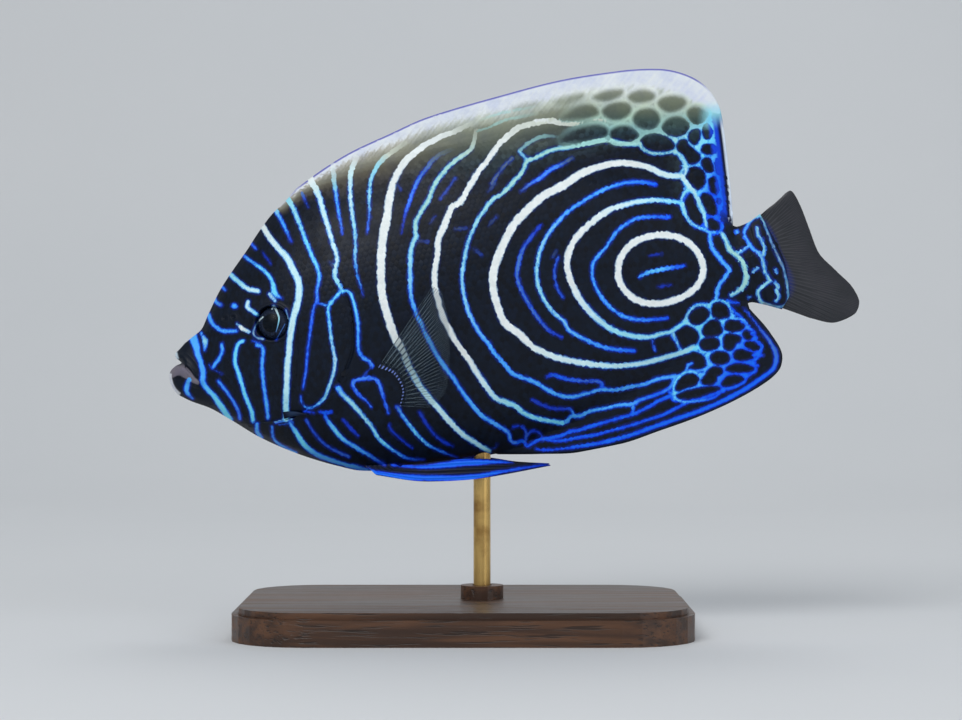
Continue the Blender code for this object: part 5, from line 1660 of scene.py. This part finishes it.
def fin_sheet(name, centres, halves):
    """A closed thin sheet from a grid of centre points, with its fan places stored."""
    across = np.gradient(centres, axis=0)
    along = np.gradient(centres, axis=1)
    normal = np.cross(across, along)
    normal /= np.linalg.norm(normal, axis=2)[..., None]
    front = centres + normal * halves[..., None]
    rear = centres - normal * halves[..., None]
    columns, rows = centres.shape[:2]
    behind = columns * rows
    numbers = np.arange(behind).reshape(columns, rows)
    quads = quads_of(numbers)
    rim = np.concatenate([numbers[:, 0], numbers[-1, 1:], numbers[-2::-1, -1], numbers[0, -2:0:-1]])
    ahead = np.roll(rim, -1)
    rim_quads = np.stack([rim, rim + behind, ahead + behind, ahead], -1)
    corners = room(np.concatenate([front.reshape(-1, 3), rear.reshape(-1, 3)]))
    mesh = mesh_of(name, corners, np.concatenate([quads, quads[:, ::-1] + behind, rim_quads]))
    fan, out = np.meshgrid(np.linspace(0.0, 1.0, columns), np.linspace(0.0, 1.0, rows), indexing="ij")
    store(mesh, "fan", np.tile(fan.ravel(), 2))
    store(mesh, "out", np.tile(out.ravel(), 2))
    return mesh


def fan_grid(root, edge, columns, rows):
    """Straight rays from a root line to an edge line, as a grid of (u, v), and its shares."""
    share = np.linspace(0.0, 1.0, columns)
    out = np.linspace(0.0, 1.0, rows)
    start = curve_through(root)(share)
    end = curve_through(edge)(share)
    return start[:, None] + (end - start)[:, None] * out[None, :, None], share, out


def ray_ridge(share, out, rays, height):
    """A ridge for each ray, which splits in two halfway out."""
    whole = 0.5 + 0.5 * np.cos(2.0 * np.pi * share * rays)
    split = 0.5 + 0.5 * np.cos(4.0 * np.pi * share * rays)
    later = soft_step(out, 0.45, 0.6)[None, :]
    ridge = whole[:, None] ** 3 * (1.0 - later) + split[:, None] ** 3 * later
    return height * ridge * (1.0 - 0.7 * out[None, :])


# %% [markdown]
# The tail was caught in a stroke: the fin is swung away from the camera, most at its upper
# tip. A flat fan could be turned about its root, but a real fin bends as it swings, so each
# ray drifts aside by more and more towards its end.

# %% Tail fin
TAIL_EDGE = [
    (118.2, 8.6), (121.5, 10.4), (122.6, 7.5), (123.2, 3.0), (123.9, -1.8), (126.6, -6.2),
    (129.2, -10.2), (129.8, -12.6), (128.4, -14.9), (124.4, -15.7), (119.5, -13.8),
]
TAIL_ROOT = [(112.9, 6.3), (114.9, 1.8), (115.5, -3.5), (114.9, -7.6), (112.9, -9.9)]
TAIL_SWING_DEG = (36.0, 12.0)
TAIL_RAYS = 17
TAIL_ROWS = 60

grid, share, out = fan_grid(TAIL_ROOT, TAIL_EDGE, 16 * TAIL_RAYS + 1, TAIL_ROWS)
swing = np.radians(TAIL_SWING_DEG[0] + share * (TAIL_SWING_DEG[1] - TAIL_SWING_DEG[0]))
reach = np.linalg.norm(grid[:, -1] - grid[:, 0], axis=1) * np.tan(swing)
aside = reach[:, None] * out[None, :] ** 1.5
halves = 0.16 + 0.62 * fall(out, 0.0, 0.22)[None, :] + ray_ridge(share, out, TAIL_RAYS, 0.09)
tail = add_piece("tail_fan", fin_sheet("tail_fan", np.concatenate([grid, aside[..., None]], 2), halves))
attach(tail, "root")
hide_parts("tail_fin")
print("tail fin:", triangles(tail), "triangles")

# %% [markdown]
# A breast fin is the fish's paddle. It stands off the flank, further out towards its tip,
# and its root is thick where it joins the body. The left and the right fin are the same
# grid with opposite signs sideways.

# %% Breast fins
PECTORAL_BASE = [(38.6, -6.2), (41.2, -8.0), (42.2, -11.0), (41.2, -14.0)]
PECTORAL_EDGE = [
    (51.6, 6.2), (53.0, 4.4), (53.1, 0.0), (52.4, -4.6), (51.3, -9.4), (49.7, -13.2),
    (46.6, -15.3),
]
PECTORAL_RAYS = 15
PECTORAL_LIFT = 5.5
PECTORAL_OFF = 0.97
PECTORAL_ROWS = 48

grid, share, out = fan_grid(PECTORAL_BASE, PECTORAL_EDGE, 12 * PECTORAL_RAYS + 1, PECTORAL_ROWS)
root_height, _ = body_height(grid[:, 0, 0], grid[:, 0, 1])
rise = PECTORAL_OFF * soft_step(out, 0.0, 0.16) - 0.15
aside = root_height[:, None] + rise[None, :] + PECTORAL_LIFT * out[None, :] ** 1.2
thick_root = 0.3 * fall(out, 0.0, 0.14)[None, :]
halves = 0.07 + thick_root + ray_ridge(share, out, PECTORAL_RAYS, 0.08)
breast_fins = []
for side, word in SIDES:
    centres = np.concatenate([grid, side * aside[..., None]], 2)
    mesh = fin_sheet("breast_fan_" + word, centres, side * halves)
    piece = add_piece("breast_fan_" + word, mesh)
    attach(piece, "root")
    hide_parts("pectoral_fin_" + word)
    breast_fins.append(piece)
print("each breast fin:", triangles(breast_fins[0]), "triangles")

# %% [markdown]
# The belly fins are folded back under the belly, each a narrow blade that ends in a point.
# Between its two long edges lies the grid, and where it would cut into the belly it is
# pressed down to lie just beneath it.

# %% Belly fins
PELVIC_LEADING = [(32.2, -25.0), (43.3, -28.9), (54.5, -30.4), (66.0, -30.7)]
PELVIC_TRAILING = [(37.4, -25.2), (47.0, -25.7), (54.0, -26.8), (60.0, -28.9), (65.9, -30.5)]
PELVIC_SIDE = [(0.0, 2.3), (0.333, 3.6), (0.667, 3.9), (1.0, 3.4)]
PELVIC_RAYS = 6
PELVIC_HALF = 0.45
PELVIC_ROWS = 130


def belly_height(u, w):
    """The height of the belly's skin at a distance w from the middle plane."""
    low = belly_v(u)
    high = 0.5 * (belly_v(u) + back_v(u))
    for _ in range(30):
        middle = 0.5 * (low + high)
        thin = body_height(u, middle)[0] < w
        low = np.where(thin, middle, low)
        high = np.where(thin, high, middle)
    return high


out = np.linspace(0.0, 1.0, PELVIC_ROWS)
share = np.linspace(0.0, 1.0, 8 * PELVIC_RAYS + 1)
leading = curve_through(PELVIC_LEADING)(out)
trailing = curve_through(PELVIC_TRAILING)(out)
grid = leading[None] + (trailing - leading)[None] * share[:, None, None]
aside = np.broadcast_to(smooth_through(PELVIC_SIDE)(out), grid.shape[:2])
roof = belly_height(grid[..., 0], aside - PELVIC_HALF - 0.22) - 0.3
root = fall(out, 0.0, 0.05)
height = np.minimum(grid[..., 1], roof)
height = height * (1.0 - root) + (roof + 0.7) * root
ridge = (0.5 + 0.5 * np.cos(2.0 * np.pi * share * PELVIC_RAYS)) ** 3
halves = (0.42 - 0.28 * out)[None, :] + 0.12 * ridge[:, None] * (1.0 - 0.5 * out)[None, :]
belly_fins = []
for side, word in SIDES:
    centres = np.stack([grid[..., 0], height, side * aside], 2)
    mesh = fin_sheet("belly_fan_" + word, centres, side * halves)
    piece = add_piece("belly_fan_" + word, mesh)
    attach(piece, "root")
    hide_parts("pelvic_fin_" + word)
    belly_fins.append(piece)
print("each belly fin:", triangles(belly_fins[0]), "triangles")

# %% [markdown]
# The belly fins carry blue lines of their own, so they are painted like the skin and share
# its finish. The tail fin is smoke grey and lets a little light through between its rays.
# The breast fins are almost clear, with pale rays that split in two.

# %% Finish the loose fins
BELLY_FIN_GROUND = linear(10, 18, 38)


def corners_seen(mesh):
    """A mesh's corners in the fish's frame, and the picture's places for the near side."""
    corners = np.array([fish(corner.co) for corner in mesh.vertices])
    x, y = seen(corners[:, 0], corners[:, 1], -np.abs(corners[:, 2]))
    return corners, np.stack([x, y], 1)


for piece in belly_fins:
    corners, places = corners_seen(piece.data)
    depth, colour = measure_pattern(places)
    store(piece.data, "mark", depth)
    store(piece.data, "mark_colour", colour)
    store(piece.data, "ground", with_alpha(np.tile(BELLY_FIN_GROUND, (len(corners), 1))))
    store(piece.data, "tone", np.full(len(corners), 0.5))
    piece.data.materials.append(skin)


def ray_lines(rays, low, high):
    """Lines across the fan, one for each ray."""
    return ramp(maths("COSINE", times(read("fan"), 2.0 * math.pi * rays)), low, high)


def fin_rays(rays, narrow):
    """How much of a ray lies at each place: fine lines that split in two, then in four."""
    one, two, four = (ray_lines(rays * parts, narrow, 1.0) for parts in (1, 2, 4))
    out = read("out")
    return mix(ramp(out, 0.7, 0.85), mix(ramp(out, 0.35, 0.5), one, two), four), out


grey_fin, tree, shader = new_finish("smoke_grey_fin", Specular_IOR_Level=0.3, Roughness=0.5)
rays, out = fin_rays(TAIL_RAYS * 2, 0.1)
cloud = noise(add("TexCoord").outputs["Object"], 240.0, 4.0)
web = mix(ramp(cloud, 0.3, 0.7), linear(28, 32, 38), linear(40, 41, 48))
web = mix(ramp(out, 0.10, 0.22), linear(16, 34, 104), web)
link(mix(times(rays, 0.4), web, linear(72, 72, 78)), "Base Color")
link(ramp(rays, 0.0, 1.0, 0.91, 0.98), "Alpha")
bump = add("Bump", Height=rays, Strength=0.4, Distance=0.0001)
link(bump.outputs["Normal"], "Normal")
tail.data.materials.append(grey_fin)

clear_fin, tree, shader = new_finish("clear_fin", Specular_IOR_Level=0.25, Roughness=0.4)
rays, out = fin_rays(PECTORAL_RAYS, 0.3)
spots = times(ray_lines(PECTORAL_RAYS, 0.1, 0.6), ramp(out, 0.006, 0.014))
spots = times(spots, ramp(out, 0.045, 0.06, 1.0, 0.0))
clear = mix(rays, linear(54, 70, 84), linear(80, 94, 104))
link(mix(spots, clear, LILAC), "Base Color")
leading = ramp(read("fan"), 0.0, 0.8, 1.0, 0.4)
web = times(ramp(out, 0.1, 0.9, 0.22, 0.09), leading)
strength = times(ramp(out, 0.15, 1.0, 0.88, 0.5), leading)
strength = times(strength, ramp(out, 0.05, 0.12))
film = maths("ADD", web, times(rays, strength))
link(maths("MAXIMUM", film, times(spots, 0.85)), "Alpha")
for piece in breast_fins:
    piece.data.materials.append(clear_fin)
print("fins finished:", grey_fin.name, "and", clear_fin.name)

# %% [markdown]
# ## Eyes
#
# The eye is hidden in the pattern: a black pupil in a nearly black iris, with a broken
# white arc round the pupil and short pale strokes at the rim. The ball is as wide and as
# flat as its solid and turned to look square out of the cheek. A thin clear dome over it
# is the cornea, which gives the wet highlight.

# %% Make the eyes
EYE_DEPTH = 0.7 * EYE_RADIUS
EYE_SUNK = 1.6
PUPIL_RADIUS = 1.75
CORNEA_RADIUS = 2.75
BALL_ROWS = 70
CORNEA_ROWS = 22


def skin_normal(u, v, side):
    """The direction that the body faces at a point, in the fish's frame."""
    step = 0.5
    along = (body_height(u + step, v)[0] - body_height(u - step, v)[0]) / (2 * step)
    up = (body_height(u, v + step)[0] - body_height(u, v - step)[0]) / (2 * step)
    return np.array(Vector((-along, -up, side)).normalized())


def dome(name, centre, normal, radius, profile, turns=96):
    """A round shape about a normal; profile gives (share of the radius, height) from pole to rim."""
    out = Vector((0.0, 1.0, 0.0)).cross(Vector(normal)).normalized()
    up = np.array(Vector(normal).cross(out))
    out = np.array(out)
    angle = np.linspace(0.0, 2.0 * np.pi, turns, endpoint=False)
    ring = np.cos(angle)[:, None] * out + np.sin(angle)[:, None] * up
    rows = [centre + radius * share * ring + height * normal for share, height in profile]
    return sheet_of_quads(name, room(np.concatenate(rows)).reshape(len(profile), turns, 3), close=True)


eyes = []
corneas = []
for side, word in SIDES:
    normal = skin_normal(EYE_U, EYE_V, side)
    top = float(body_height(EYE_U, EYE_V)[0])
    centre = np.array([EYE_U, EYE_V, side * top]) - EYE_SUNK * normal
    bend = np.linspace(0.002, np.pi - 0.002, BALL_ROWS)
    ball = [(math.sin(b), EYE_DEPTH * math.cos(b)) for b in bend]
    eye = add_piece("eyeball_" + word, dome("eyeball_" + word, centre, normal, EYE_RADIUS - 0.02, ball))
    shell = []
    for share in np.linspace(0.001, 1.0, CORNEA_ROWS):
        flat = EYE_DEPTH * math.sqrt(1.0 - (share * CORNEA_RADIUS / EYE_RADIUS) ** 2)
        shell.append((share, flat - 0.04 + 0.16 * (1.0 - share ** 4)))
    cornea = add_piece("cornea_" + word, dome("cornea_" + word, centre, normal, CORNEA_RADIUS, shell))
    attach(eye, "root")
    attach(cornea, "root")
    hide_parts("eye_" + word)
    corners, places = corners_seen(eye.data)
    from_pupil = np.linalg.norm(np.cross(corners - centre, normal), axis=1)
    behind = (corners - centre) @ normal < 0.0
    depth, colour = measure_pattern(places)
    store(eye.data, "mark", np.where(behind, -1.0, depth))
    store(eye.data, "mark_colour", colour)
    store(eye.data, "from_pupil", np.where(behind, EYE_RADIUS, from_pupil))
    store(eye.data, "round_pupil", np.arctan2(corners[:, 1] - EYE_V, corners[:, 0] - EYE_U))
    eyes.append(eye)
    corneas.append(cornea)
print("each eye:", triangles(eyes[0]), "triangles, pupil", 2 * PUPIL_RADIUS, "mm across")

# %% [markdown]
# The iris of a real eye has fine streaks that run out from the pupil. A noise stretched
# round the pupil draws them, and the pattern's pale strokes lie over it. The cornea is
# nearly clear, and a little less so where it is seen at a slant.

# %% Finish the eyes
iris, tree, shader = new_finish("dark_iris", Roughness=0.4, Specular_IOR_Level=0.12)
gap = read("from_pupil")
streak_at = add("CombineXYZ", X=times(read("round_pupil"), 14.0), Y=times(gap, 1.2))
streaks = noise(streak_at.outputs["Vector"], 1.0, 3.0)
iris_colour = mix(ramp(streaks, 0.35, 0.7), linear(22, 29, 42), linear(38, 49, 72))
pupil = ramp(gap, PUPIL_RADIUS - 0.06, PUPIL_RADIUS + 0.06)
dark = mix(pupil, linear(5, 13, 22), iris_colour)
line = times(ramp(read("mark"), -0.06, 0.05), read("mark_colour", "Alpha"))
link(mix(line, dark, read("mark_colour", "Color")), "Base Color")
for eye in eyes:
    eye.data.materials.append(iris)

clear_eye, tree, shader = new_finish("clear_cornea", Roughness=0.05, Specular_IOR_Level=0.1)
edge = add("LayerWeight", Blend=0.35).outputs["Facing"]
film = noise(add("TexCoord").outputs["Object"], 600.0, 2.0)
link(mix(film, linear(20, 28, 46), linear(30, 40, 62)), "Base Color")
link(ramp(edge, 0.0, 1.0, 0.02, 0.08), "Alpha")
for cornea in corneas:
    cornea.data.materials.append(clear_eye)
print("eyes finished:", iris.name, "under", clear_eye.name)

# %% [markdown]
# Angelfishes have a strong spine at the lower corner of each cheek. It is a thin curved
# cone that lies back along the gill cover, dark like the skin there, with a dull blue sheen
# near its root. Rings of corners along the curve, each a little smaller, make the cone.

# %% Cheek spines
SPINE_ROOT = (19.5, -11.2)
SPINE_TIP = (24.2, -12.2)
SPINE_RADIUS = 0.62
SPINE_STEPS = 24
SPINE_SIDES = 20

horn, tree, shader = new_finish("dark_spine", Roughness=0.5, Specular_IOR_Level=0.12)
toward_tip = read("out")
cloud = noise(add("TexCoord").outputs["Object"], 900.0, 3.0)
sheen = times(ramp(toward_tip, 0.05, 0.3), ramp(toward_tip, 0.4, 0.8, 0.3, 0.05))
link(mix(sheen, mix(cloud, linear(5, 10, 24), linear(8, 15, 38)), linear(46, 76, 116)), "Base Color")
for side, word in SIDES:
    rows = []
    for step in range(SPINE_STEPS + 1):
        t = step / SPINE_STEPS
        u = SPINE_ROOT[0] + t * (SPINE_TIP[0] - SPINE_ROOT[0])
        v = SPINE_ROOT[1] + t * (SPINE_TIP[1] - SPINE_ROOT[1]) + 0.35 * math.sin(math.pi * t)
        thick = SPINE_RADIUS * (1.0 - t) ** 0.7 + 0.04
        w = float(body_height(u, v)[0]) + 0.15 + 0.65 * t
        for turn in range(SPINE_SIDES):
            angle = 2.0 * math.pi * turn / SPINE_SIDES
            rows.append((u, v + thick * math.cos(angle), side * (w + 0.8 * thick * math.sin(angle))))
    spine_grid = room(np.array(rows)).reshape(SPINE_STEPS + 1, SPINE_SIDES, 3)
    mesh = sheet_of_quads("cheek_spine_" + word, spine_grid, close=True)
    spine = add_piece("cheek_spine_" + word, mesh, horn)
    store(spine.data, "out", np.repeat(np.linspace(0.0, 1.0, SPINE_STEPS + 1), SPINE_SIDES))
    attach(spine, "root")
print("cheek spines:", triangles(spine), "triangles each")
